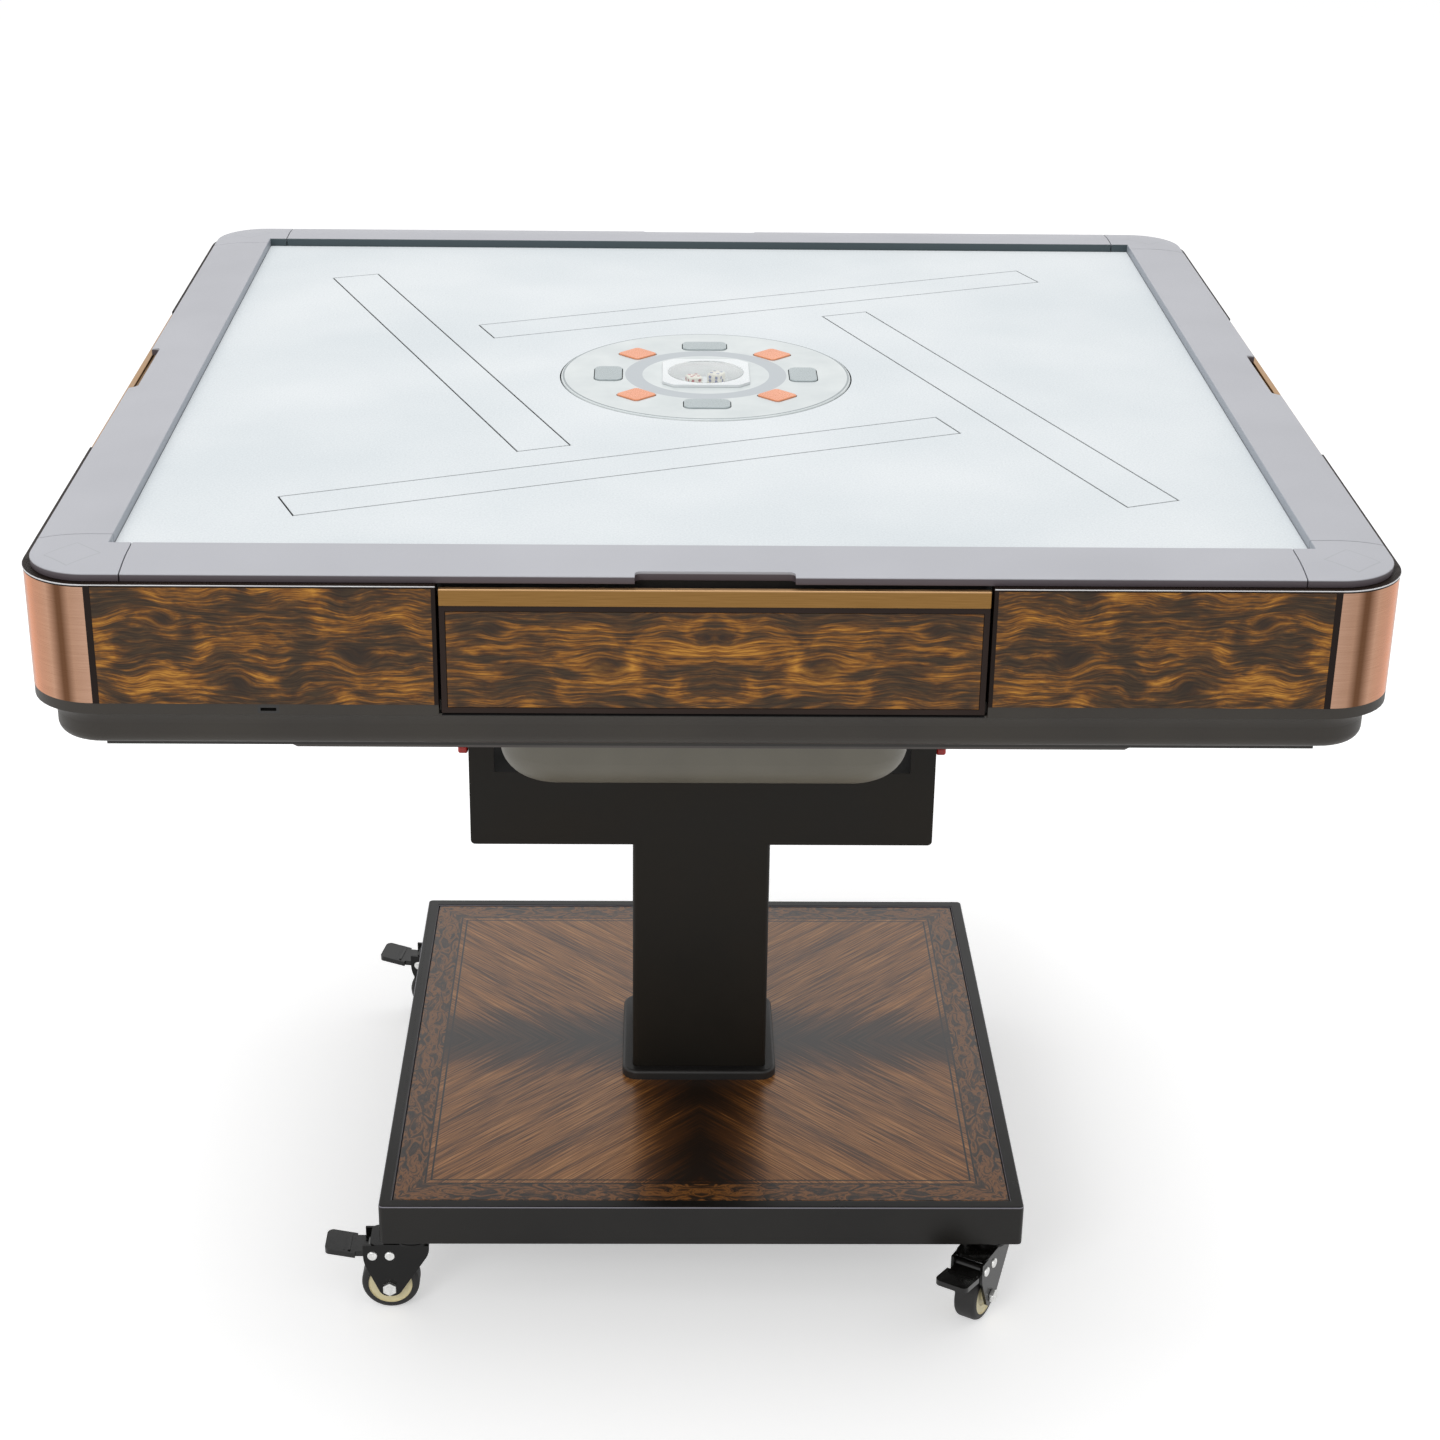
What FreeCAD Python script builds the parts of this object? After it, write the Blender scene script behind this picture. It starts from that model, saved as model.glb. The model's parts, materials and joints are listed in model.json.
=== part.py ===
import FreeCAD, Part
import math
import os

# Automatic mahjong table with four drawers on a folding pedestal.
# Millimetres, +Z up, the front faces -Y, the origin is on the floor under the centre of the top.

# Clearances shared by many pieces
fit_gap = 0.3
pin_gap = 0.05
seam_gap = 1.0
overrun = 3.0

# Heights, stacked from the floor up
caster_height = 78.0
base_height = 38.0
column_height = 237.5
crossbar_height = 70.5
arm_height = 196.5
bumper_height = 3.7
cover_thickness = 4.0
cover_drop = 12.0
skirt_height = 38.0
panel_height = 86.5
trim_height = 2.0
rim_height = 9.0
felt_drop = 8.0
board_thickness = 14.0

# Table top in plan
top_width = 960.0
rim_inset = 5.0
rim_width = 53.0
rim_flat = 18.0
rim_fall = 3.5
panel_thickness = 5.0
wall_thickness = 11.0
post_radius = 50.0
cap_reach = 69.0
rim_bevel = 3.0
strip_width = 4.5
strip_proud = 0.5
trim_proud = 0.5
recess_width = 110.0
recess_depth = 7.5
recess_round = 4.0

# Skirt under the apron
skirt_depth = 33.0
skirt_band = 8.0
skirt_cove = 14.0
skirt_cove_height = 13.0
skirt_round = 8.0
socket_width = 15.0
socket_height = 6.0
socket_depth = 8.0
socket_offset = 309.0
socket_slot_width = 11.0
socket_slot_height = 2.4
socket_slot_depth = 5.0

# Chassis of square tube
chassis_tube = 20.0
upright_width = 25.0
cover_edge_gap = 5.0
cover_corner_cut = 146.0
bracket_width = 22.0
bracket_thickness = 6.0
sleeve_wall = 4.0
sleeve_length = 49.0
lug_thickness = 6.0
lug_gap = 3.0
lug_half_width = 26.0

# Tile tub, chute and turntable
tub_half = 172.0
tub_round = 50.0
tub_depth = 175.5
tub_side_gap = 10.0
tub_floor_round = 26.0
tub_wall = 3.0
tub_flange = 16.0
tub_flange_thickness = 4.0
boss_radius = 34.0
boss_height = 127.0
shoulder_width = 12.0
shoulder_height = 43.0
turntable_gap = 19.0
turntable_thickness = 10.0
turntable_lip_width = 6.0
turntable_lip_height = 8.0
chute_wall = 2.0
chute_flange = 18.0
chute_flange_thickness = 3.0
chute_side_gap = 12.5
chute_height = 110.0
motor_radius = 30.0
motor_height = 40.0
motor_gap = 19.0
motor_shaft_radius = 8.0

# Centre dial
dial_radius = 122.0
dial_thickness = 14.0
dial_rise = 2.0
dial_gap = 2.5
dial_edge_round = 2.0
dial_well_radius = 33.0
dial_well_depth = 12.0
stem_radius = 24.0
stem_bore = 18.0
stem_floor_gap = 5.0
stem_flange_radius = 60.0
stem_flange_thickness = 6.0
stem_collar_radius = 32.0
stem_collar_height = 8.0
dome_frame_width = 73.0
dome_frame_height = 1.5
dome_frame_chamfer = 9.0
dome_radius = 32.0
dome_height = 4.0
dome_wall = 1.2
die_size = 12.0
die_spacing = 20.0
die_turns = (20.0, -35.0)
button_orbit = 82.0
button_travel = 2.0
button_proud = 1.2
button_pocket_depth = 10.0
button_gap = 0.4
button_length = 38.0
button_width = 23.0
button_round = 6.0
diamond_side = 24.5
diamond_round = 3.5

# Tile lifts, set as a pinwheel round the dial
lift_angle = 21.5
lift_distance = 190.0
lift_shift = -139.0
lift_length = 540.0
lift_width = 42.0
lift_gap = 1.5
lift_thickness = 8.0
lift_rod_radius = 6.0
lift_rod_spread = 200.0
lift_rod_length = 76.0

# Drawers
drawer_width = 378.0
drawer_gap = 2.0
drawer_overhang = 8.0
drawer_front_thickness = 8.0
drawer_depth = 135.0
drawer_box_inset = 17.0
drawer_box_height = 60.0
drawer_box_wall = 4.0
drawer_box_gap = 2.0
drawer_frame_edge = 5.0
drawer_inlay_depth = 2.0
pull_height = 12.5
pull_proud = 1.0
pull_lip_height = 2.0
pull_lip_depth = 2.0
bar_width = 5.0
bar_height = 6.0
bar_rise = 26.0
runner_length = 122.0
runner_thickness = 2.0
runner_flange = 5.0
runner_leg_width = 12.0

# Control box with its power inlet under the cover
control_side_gap = 8.2
control_end_gap = 24.0
control_width = 70.0
control_height = 60.0
inlet_width = 28.0
inlet_length = 34.0
inlet_wall = 2.5
inlet_depth = 14.0

# Base and column
base_width = 550.0
base_border = 11.0
base_wall = 3.0
base_round = 4.0
base_recess = 3.5
base_panel_gap = 1.0
base_panel_thickness = 2.5
column_width = 122.0
column_depth = 122.0
column_wall = 4.0
column_round = 5.0
collar_width = 9.5
collar_height = 9.0
collar_round = 3.0

# Yoke and fold pivot
yoke_depth = 126.0
yoke_wall = 4.0
yoke_round = 4.0
arm_thickness = 6.0
arm_flange_width = 22.0
pivot_back = 110.0
pivot_drop = 18.0
pivot_boss_length = 18.0
pivot_pin_radius = 8.0
pivot_head_radius = 12.0
pivot_head_length = 4.0
bumper_length = 60.0
lock_front = 24.0
lock_rise = 23.0
lock_shaft_radius = 4.0
lock_lever_gap = 4.0
lock_lever_thickness = 4.0
lock_lever_width = 12.0
lock_lever_length = 7.0
lock_grip_length = 12.0
lock_grip_thickness = 9.0

# Casters
caster_inset = 26.0
caster_plate_half = 21.0
caster_plate_thickness = 3.0
caster_plate_round = 5.0
kingpin_radius = 6.0
kingpin_head_radius = 9.0
kingpin_head_height = 3.0
fork_head_radius = 18.0
fork_head_height = 8.4
fork_crown_thickness = 3.0
fork_leg_thickness = 2.5
fork_wheel_gap = 2.5
fork_nose = 15.0
fork_tail = 22.0
fork_foot = 9.0
caster_trail = 20.0
wheel_radius = 25.0
wheel_width = 20.0
wheel_core_radius = 17.0
wheel_edge_round = 3.0
axle_radius = 4.0
axle_nut_radius = 6.5
axle_nut_height = 4.0
pedal_pin_back = 14.0
pedal_pin_rise = 33.0
pedal_pin_radius = 3.0
rivet_radius = 4.5
rivet_height = 2.0
pedal_hub_radius = 5.5
pedal_arm_length = 20.0
pedal_arm_thickness = 5.0
pedal_pad_length = 26.0
pedal_pad_width = 30.0
pedal_pad_thickness = 5.0
pedal_pad_rise = 4.0
caster_headings = {"front_left": 180.0, "front_right": 239.0, "back_right": 200.0, "back_left": 170.0}

# Levels that follow from the stack
base_top_z = caster_height + base_height
recess_floor_z = base_top_z - base_recess
base_panel_top_z = recess_floor_z + base_panel_thickness
yoke_bottom_z = base_top_z + column_height
crossbar_top_z = yoke_bottom_z + crossbar_height
arm_top_z = crossbar_top_z + arm_height
underside_z = arm_top_z + bumper_height + fit_gap
cover_top_z = underside_z + cover_thickness
chassis_top_z = cover_top_z + chassis_tube
skirt_bottom_z = underside_z + cover_drop
skirt_top_z = skirt_bottom_z + skirt_height
panel_top_z = skirt_top_z + panel_height
rim_bottom_z = panel_top_z + trim_height
rim_top_z = rim_bottom_z + rim_height
felt_z = rim_top_z - felt_drop
board_bottom_z = felt_z - board_thickness
pivot_z = arm_top_z - pivot_drop

# Plan lines that follow from the widths
face_half = top_width / 2
rim_half = face_half - rim_inset
rim_inner_half = rim_half - rim_width
wall_face_half = face_half - panel_thickness
wall_inner_half = wall_face_half - wall_thickness
corner_centre = face_half - post_radius
skirt_inner_half = face_half - skirt_depth
chassis_ring_inner = skirt_inner_half - chassis_tube
cover_half = skirt_inner_half - cover_edge_gap
cover_edge_half = cover_half - cover_corner_cut
opening_half = drawer_width / 2 + drawer_gap
yoke_half = tub_half + tub_side_gap + arm_flange_width
chassis_rail_inner = yoke_half + lug_gap
chassis_rail_outer = chassis_rail_inner + chassis_tube
base_half = base_width / 2
dial_hole_radius = dial_radius + dial_gap
turntable_radius = tub_half - tub_wall - turntable_gap
chute_low_radius = tub_half - chute_side_gap
motor_offset = boss_radius + shoulder_width + motor_gap + motor_radius
control_y = chassis_rail_outer + control_end_gap
control_length = chassis_ring_inner - control_end_gap - control_y

SIDES = ("front", "right", "back", "left")
UP = FreeCAD.Vector(0, 0, 1)
ORIGIN = FreeCAD.Vector(0, 0, 0)


def point(x, y, z):
    return FreeCAD.Vector(x, y, z)


def block(x_low, x_high, y_low, y_high, z_low, z_high):
    corner = point(x_low, y_low, z_low)
    return Part.makeBox(x_high - x_low, y_high - y_low, z_high - z_low, corner)


def rounded_block(half_x, half_y, radius, z_low, z_high):
    solid = block(-half_x, half_x, -half_y, half_y, z_low, z_high)
    upright = [edge for edge in solid.Edges if edge.BoundBox.ZLength > edge.BoundBox.DiagonalLength / 2]
    return solid.makeFillet(radius, upright)


def rod(radius, z_low, z_high, x=0, y=0):
    return Part.makeCylinder(radius, z_high - z_low, point(x, y, z_low))


def ring(outer, inner, z_low, z_high, x=0, y=0):
    bore = rod(inner, z_low - overrun, z_high + overrun, x, y)
    return rod(outer, z_low, z_high, x, y).cut(bore)


def rod_along_x(radius, x_low, x_high, y, z):
    return Part.makeCylinder(radius, x_high - x_low, point(x_low, y, z), point(1, 0, 0))


def rod_along_y(radius, y_low, y_high, x, z):
    return Part.makeCylinder(radius, y_high - y_low, point(x, y_low, z), point(0, 1, 0))


def prism(corners, travel):
    face = Part.Face(Part.makePolygon(corners + corners[:1]))
    return face.extrude(travel)


def turned(shape, degrees):
    copy = shape.copy()
    copy.rotate(ORIGIN, UP, degrees)
    return copy


def moved(shape, x, y, z=0):
    copy = shape.copy()
    copy.translate(point(x, y, z))
    return copy


def four(shape):
    return [turned(shape, 90 * turn) for turn in range(4)]


def mirrored_x(shape):
    return shape.mirror(ORIGIN, point(1, 0, 0))


def save(name, solids):
    Part.makeCompound(solids).exportStep("parts/" + name + ".step")


# One quarter of a round corner of the top, at the back right
def corner_sector(outer, inner, z_low, z_high):
    base = point(corner_centre, corner_centre, z_low)
    whole = Part.makeCylinder(outer, z_high - z_low, base, UP, 90)
    return whole.cut(rod(inner, z_low - overrun, z_high + overrun, corner_centre, corner_centre))


# Outline of the top at a height, square with corners round the posts' centres
def rounded_outline(half, z):
    solid = rounded_block(half, half, half - corner_centre, z, z + overrun)
    lowest = min(solid.Faces, key=lambda face: face.CenterOfMass.z)
    return lowest.OuterWire


# Rim of the table, flat beside the field and falling outward: four rails and four corner caps
def make_rim():
    edge_z = rim_top_z - rim_fall
    flat_half = rim_inner_half + rim_flat
    solid = rounded_block(rim_half, rim_half, rim_half - corner_centre, rim_bottom_z, edge_z)
    outlines = [rounded_outline(rim_half, edge_z), rounded_outline(flat_half, rim_top_z)]
    solid = solid.fuse(Part.makeLoft(outlines, True, True)).removeSplitter()
    well = block(-rim_inner_half, rim_inner_half, -rim_inner_half, rim_inner_half,
                 rim_bottom_z - overrun, rim_top_z + overrun)
    solid = solid.cut(well)
    inner_edges = []
    for edge in solid.Edges:
        box = edge.BoundBox
        reach = max(abs(box.XMin), abs(box.XMax), abs(box.YMin), abs(box.YMax))
        if box.ZMin > rim_top_z - rim_bevel / 2 and reach < rim_inner_half + rim_bevel:
            inner_edges.append(edge)
    solid = solid.makeChamfer(rim_bevel, inner_edges)
    rebate_half = wall_inner_half
    rebate_radius = wall_inner_half - corner_centre
    rebate = rounded_block(rebate_half, rebate_half, rebate_radius, rim_bottom_z - overrun, felt_z)
    solid = solid.cut(rebate)
    recess_outer = -rim_half - recess_depth
    recess = rounded_block(recess_width / 2, recess_depth + recess_depth, recess_round,
                           rim_bottom_z - overrun, rim_top_z + overrun)
    recess = moved(recess, 0, recess_outer)
    for cutter in four(recess):
        solid = solid.cut(cutter)
    cap_line = rim_half - cap_reach
    rail_zone = block(-cap_line, cap_line, -rim_half - overrun, -rim_inner_half + overrun,
                      rim_bottom_z - overrun, rim_top_z + overrun)
    cap_zone = block(cap_line, rim_half + overrun, cap_line, rim_half + overrun,
                     rim_bottom_z - overrun, rim_top_z + overrun)
    save("rim_rails", [solid.common(zone) for zone in four(rail_zone)])
    save("rim_corner_caps", [solid.common(zone) for zone in four(cap_zone)])


# Places along a tile lift: along its length and out from the centre
def lift_place(along, outward):
    angle = math.radians(lift_angle)
    x = along * math.cos(angle) + outward * math.sin(angle)
    y = along * math.sin(angle) - outward * math.cos(angle)
    return x, y


def lift_block(length, width, z_low, z_high):
    bar = block(-length / 2, length / 2, -width / 2, width / 2, z_low, z_high)
    x, y = lift_place(lift_shift, lift_distance)
    return moved(turned(bar, lift_angle), x, y)


# Board under the felt, with the dial hole and the four lift slots
def make_play_board():
    board = rounded_block(wall_inner_half, wall_inner_half, wall_inner_half - corner_centre,
                          board_bottom_z, felt_z)
    board = board.cut(rod(dial_hole_radius, board_bottom_z - overrun, felt_z + overrun))
    slot = lift_block(lift_length + 2 * lift_gap, lift_width + 2 * lift_gap,
                      board_bottom_z - overrun, felt_z + overrun)
    for cutter in four(slot):
        board = board.cut(cutter)
    save("play_board", [board])


# Four lift platforms, each with two guide rods
def make_lifts():
    plate_bottom_z = felt_z - lift_thickness
    plate = lift_block(lift_length, lift_width, plate_bottom_z, felt_z)
    solids = [plate]
    for sign in (-1, 1):
        x, y = lift_place(lift_shift + sign * lift_rod_spread, lift_distance)
        solids.append(rod(lift_rod_radius, plate_bottom_z - lift_rod_length, plate_bottom_z, x, y))
    for turn, side in enumerate(SIDES):
        save("lift_platform_" + side, [turned(solid, 90 * turn) for solid in solids])


# Apron walls, with the dark strips beside the wood panels and the trim line above them
def make_apron():
    wall = block(opening_half, corner_centre, -wall_face_half, -wall_inner_half, skirt_top_z, rim_bottom_z)
    strip_face = face_half + strip_proud
    trim_face = face_half + trim_proud
    for start in (opening_half, corner_centre - strip_width):
        wall = wall.fuse(block(start, start + strip_width, -strip_face, -wall_face_half,
                               skirt_top_z, panel_top_z))
    wall = wall.fuse(block(opening_half, corner_centre, -trim_face, -wall_face_half,
                           panel_top_z, rim_bottom_z))
    wall = wall.removeSplitter()
    inner = wall_inner_half - corner_centre
    corner = corner_sector(wall_face_half - corner_centre, inner, skirt_top_z, rim_bottom_z)
    corner_trim = corner_sector(trim_face - corner_centre, inner, panel_top_z, rim_bottom_z)
    corner = corner.fuse(corner_trim).removeSplitter()
    save("apron_frame", four(wall) + four(mirrored_x(wall)) + four(corner))
    panel = block(opening_half + strip_width, corner_centre - strip_width, -face_half, -wall_face_half,
                  skirt_top_z, panel_top_z)
    save("wood_panels", four(panel) + four(mirrored_x(panel)))
    post = corner_sector(post_radius, wall_face_half - corner_centre, skirt_top_z, panel_top_z)
    save("corner_posts", four(post))


# Section of the skirt in the plane x and z, at the given y
def skirt_section(y):
    quarter_share = 1 - math.sqrt(0.5)
    neck = face_half - skirt_cove
    band_z = skirt_top_z - skirt_band
    cove_z = band_z - skirt_cove_height
    round_z = skirt_bottom_z + skirt_round
    inner_low = point(skirt_inner_half, y, skirt_bottom_z)
    round_start = point(neck - skirt_round, y, skirt_bottom_z)
    round_mid = point(neck - skirt_round * quarter_share, y, skirt_bottom_z + skirt_round * quarter_share)
    round_end = point(neck, y, round_z)
    cove_start = point(neck, y, cove_z)
    cove_mid = point(neck + skirt_cove * quarter_share, y, band_z - skirt_cove_height * quarter_share)
    cove_end = point(face_half, y, band_z)
    band_top = point(face_half, y, skirt_top_z)
    inner_top = point(skirt_inner_half, y, skirt_top_z)
    edges = [Part.makeLine(inner_low, round_start)]
    edges.append(Part.Arc(round_start, round_mid, round_end).toShape())
    edges.append(Part.makeLine(round_end, cove_start))
    edges.append(Part.Arc(cove_start, cove_mid, cove_end).toShape())
    edges.append(Part.makeLine(cove_end, band_top))
    edges.append(Part.makeLine(band_top, inner_top))
    edges.append(Part.makeLine(inner_top, inner_low))
    return Part.Face(Part.Wire(edges))


# Skirt rails and corners, with the drawer notch and the small socket in each rail
def make_skirt():
    rail = skirt_section(-corner_centre).extrude(point(0, 2 * corner_centre, 0))
    notch_depth = drawer_front_thickness + seam_gap
    notch = block(face_half - notch_depth, face_half + overrun, -opening_half, opening_half,
                  skirt_top_z - drawer_overhang - seam_gap, skirt_top_z + overrun)
    rail = rail.cut(notch)
    socket_z = skirt_top_z - skirt_band / 2
    pocket = block(face_half - socket_depth, face_half + overrun,
                   -socket_offset - socket_width / 2, -socket_offset + socket_width / 2,
                   socket_z - socket_height / 2, socket_z + socket_height / 2)
    rail = rail.cut(pocket)
    corner = skirt_section(corner_centre).revolve(point(corner_centre, corner_centre, 0), UP, 90)
    save("skirt", four(rail) + four(corner))
    socket = block(face_half - socket_depth, face_half,
                   -socket_offset - socket_width / 2, -socket_offset + socket_width / 2,
                   socket_z - socket_height / 2, socket_z + socket_height / 2)
    slot = block(face_half - socket_slot_depth, face_half + overrun,
                 -socket_offset - socket_slot_width / 2, -socket_offset + socket_slot_width / 2,
                 socket_z - socket_slot_height / 2, socket_z + socket_slot_height / 2)
    save("skirt_sockets", four(socket.cut(slot)))


# Lug that carries the top on the pivot pin, at the right
def hinge_lug():
    x_low = yoke_half + lug_gap
    plate = block(x_low, x_low + lug_thickness, pivot_back - lug_half_width, pivot_back + lug_half_width,
                  pivot_z, cover_top_z)
    plate = plate.fuse(rod_along_x(lug_half_width, x_low, x_low + lug_thickness, pivot_back, pivot_z))
    hole = rod_along_x(pivot_pin_radius + pin_gap, x_low - overrun, x_low + lug_thickness + overrun,
                       pivot_back, pivot_z)
    trim = block(x_low - overrun, x_low + lug_thickness + overrun,
                 pivot_back - lug_half_width - overrun, pivot_back + lug_half_width + overrun,
                 cover_top_z, cover_top_z + lug_half_width + lug_half_width)
    return plate.removeSplitter().cut(hole).cut(trim)


# Chassis tubes, uprights, hinge lugs and the guide sleeves of the lifts
def make_chassis():
    ring_outer = skirt_inner_half
    ring_inner = chassis_ring_inner
    rail_inner = chassis_rail_inner
    rail_outer = chassis_rail_outer
    levels = (cover_top_z, chassis_top_z)
    solids = []
    for sign in (-1, 1):
        near, far = sorted((sign * ring_inner, sign * ring_outer))
        solids.append(block(-corner_centre, corner_centre, near, far, *levels))
        solids.append(block(near, far, -ring_inner, ring_inner, *levels))
        near, far = sorted((sign * rail_inner, sign * rail_outer))
        solids.append(block(-ring_inner, ring_inner, near, far, *levels))
        solids.append(block(near, far, -rail_inner, rail_inner, *levels))
        solids.append(block(near, far, rail_outer, ring_inner, *levels))
        solids.append(block(near, far, -ring_inner, -rail_outer, *levels))
    upright = block(corner_centre - upright_width, corner_centre, -ring_outer, -ring_inner,
                    chassis_top_z, board_bottom_z)
    solids += four(upright)
    lug = hinge_lug()
    solids += [lug, mirrored_x(lug)]
    bracket_top_z = chassis_top_z + bracket_thickness
    bore_radius = lift_rod_radius + fit_gap
    sleeve_radius = bore_radius + sleeve_wall
    outer_x, outer_y = lift_place(lift_shift - lift_rod_spread, lift_distance)
    inner_x, inner_y = lift_place(lift_shift + lift_rod_spread, lift_distance)
    outer_bar = block(outer_x - bracket_width / 2, outer_x + bracket_width / 2, -ring_outer, -rail_inner,
                      chassis_top_z, bracket_top_z)
    inner_bar = block(inner_x - bracket_width / 2, inner_x + bracket_width / 2,
                      -rail_outer, inner_y + bracket_width / 2, chassis_top_z, bracket_top_z)
    for bar, x, y in ((outer_bar, outer_x, outer_y), (inner_bar, inner_x, inner_y)):
        bore = rod(bore_radius, chassis_top_z - overrun, bracket_top_z + sleeve_length + overrun, x, y)
        sleeve = rod(sleeve_radius, bracket_top_z, bracket_top_z + sleeve_length, x, y)
        solids += four(bar.fuse(sleeve).cut(bore))
    save("chassis_frame", solids)


# Side of the control box that stands beside the bracket of the back lift
def control_side():
    bracket_x, bracket_y = lift_place(lift_shift - lift_rod_spread, lift_distance)
    return bracket_width / 2 + control_side_gap - bracket_x


# Bottom cover in four plates round the tub, an octagon in outline
def make_bottom_cover():
    hole_half = tub_half + seam_gap
    outline = [(-cover_edge_half, -cover_half), (cover_edge_half, -cover_half),
               (cover_half, -cover_edge_half), (cover_half, -hole_half),
               (-cover_half, -hole_half), (-cover_half, -cover_edge_half)]
    front = prism([point(x, y, underside_z) for x, y in outline], point(0, 0, cover_thickness))
    back = turned(front, 180)
    inlet_x = control_side() + control_width / 2
    inlet_y = control_y + control_length / 2
    back = back.cut(block(inlet_x - inlet_width / 2, inlet_x + inlet_width / 2,
                          inlet_y - inlet_length / 2, inlet_y + inlet_length / 2,
                          underside_z - overrun, cover_top_z + overrun))
    side = block(hole_half, cover_half, -hole_half, hole_half, underside_z, cover_top_z)
    slot_start = yoke_half + lug_gap - seam_gap
    slot = block(slot_start, slot_start + lug_thickness + 2 * seam_gap,
                 pivot_back - lug_half_width - seam_gap, pivot_back + lug_half_width + seam_gap,
                 underside_z - overrun, cover_top_z + overrun)
    side = side.cut(slot)
    save("bottom_cover", [front, back, side, mirrored_x(side)])


# Square basin with round corners and a round edge along its floor
def basin(half, corner_radius, floor_radius, z_low, z_high):
    solid = rounded_block(half, half, corner_radius, z_low, z_high)
    floor_edges = [edge for edge in solid.Edges if edge.BoundBox.ZMax < z_low + floor_radius]
    return solid.makeFillet(floor_radius, floor_edges)


# Tub that hangs in the yoke, with the boss that carries the turntable and guides the stem
def make_tub():
    floor_z = cover_top_z + tub_flange_thickness - tub_depth
    flange_top_z = cover_top_z + tub_flange_thickness
    flange_half = tub_half + tub_flange
    inner_half = tub_half - tub_wall
    tub = basin(tub_half, tub_round, tub_floor_round, floor_z, flange_top_z)
    tub = tub.fuse(rounded_block(flange_half, flange_half, tub_round, cover_top_z, flange_top_z))
    tub = tub.cut(basin(inner_half, tub_round - tub_wall, tub_floor_round - tub_wall,
                        floor_z + tub_wall, flange_top_z + overrun))
    shoulder_z = floor_z + tub_wall + shoulder_height
    boss_top_z = floor_z + tub_wall + boss_height
    tub = tub.fuse(rod(boss_radius + shoulder_width, floor_z, shoulder_z))
    tub = tub.fuse(rod(boss_radius, floor_z, boss_top_z))
    tub = tub.cut(rod(stem_radius + fit_gap, floor_z + tub_wall, boss_top_z + overrun))
    save("tile_tub", [tub.removeSplitter()])
    disc_z = shoulder_z + fit_gap
    disc = ring(turntable_radius, boss_radius + fit_gap, disc_z, disc_z + turntable_thickness)
    lip = ring(turntable_radius, turntable_radius - turntable_lip_width,
               disc_z + turntable_thickness, disc_z + turntable_thickness + turntable_lip_height)
    save("turntable", [disc.fuse(lip).removeSplitter()])
    motor_top_z = floor_z + tub_wall + motor_height
    can = rod(motor_radius, floor_z + tub_wall, motor_top_z, motor_offset)
    roller = rod(motor_shaft_radius, motor_top_z, disc_z - fit_gap, motor_offset)
    save("mixer_motor", [can.fuse(roller).removeSplitter()])
    stem_bottom_z = floor_z + tub_wall + stem_floor_gap
    dial_bottom_z = felt_z + dial_rise - dial_thickness
    stem = rod(stem_radius, stem_bottom_z, dial_bottom_z)
    stem = stem.fuse(rod(stem_flange_radius, dial_bottom_z - stem_flange_thickness, dial_bottom_z))
    collar_z = boss_top_z + fit_gap
    stem = stem.fuse(rod(stem_collar_radius, collar_z, collar_z + stem_collar_height))
    stem = stem.cut(rod(stem_bore, stem_bottom_z - overrun, dial_bottom_z - stem_flange_thickness))
    save("center_stem", [stem.removeSplitter()])


# Chute that leads tiles from the dial hole down into the tub
def make_chute():
    low_z = board_bottom_z - chute_height
    inner_top = dial_hole_radius + seam_gap
    inner_low = chute_low_radius
    outer = Part.makeCone(inner_low + chute_wall, inner_top + chute_wall, chute_height, point(0, 0, low_z))
    flange = rod(inner_top + chute_flange, board_bottom_z - chute_flange_thickness, board_bottom_z)
    inner = Part.makeCone(inner_low, inner_top, chute_height, point(0, 0, low_z))
    save("tile_chute", [outer.fuse(flange).cut(inner)])


# Outline of a button, a rounded rectangle or a rounded diamond, grown by the given gap
def button_solid(kind, grow, z_low, z_high):
    if kind == "grey":
        half_x = button_length / 2 + grow
        half_y = button_width / 2 + grow
        return rounded_block(half_x, half_y, button_round + grow, z_low, z_high)
    half = diamond_side / 2 + grow
    return rounded_block(half, half, diamond_round + grow, z_low, z_high)


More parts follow.
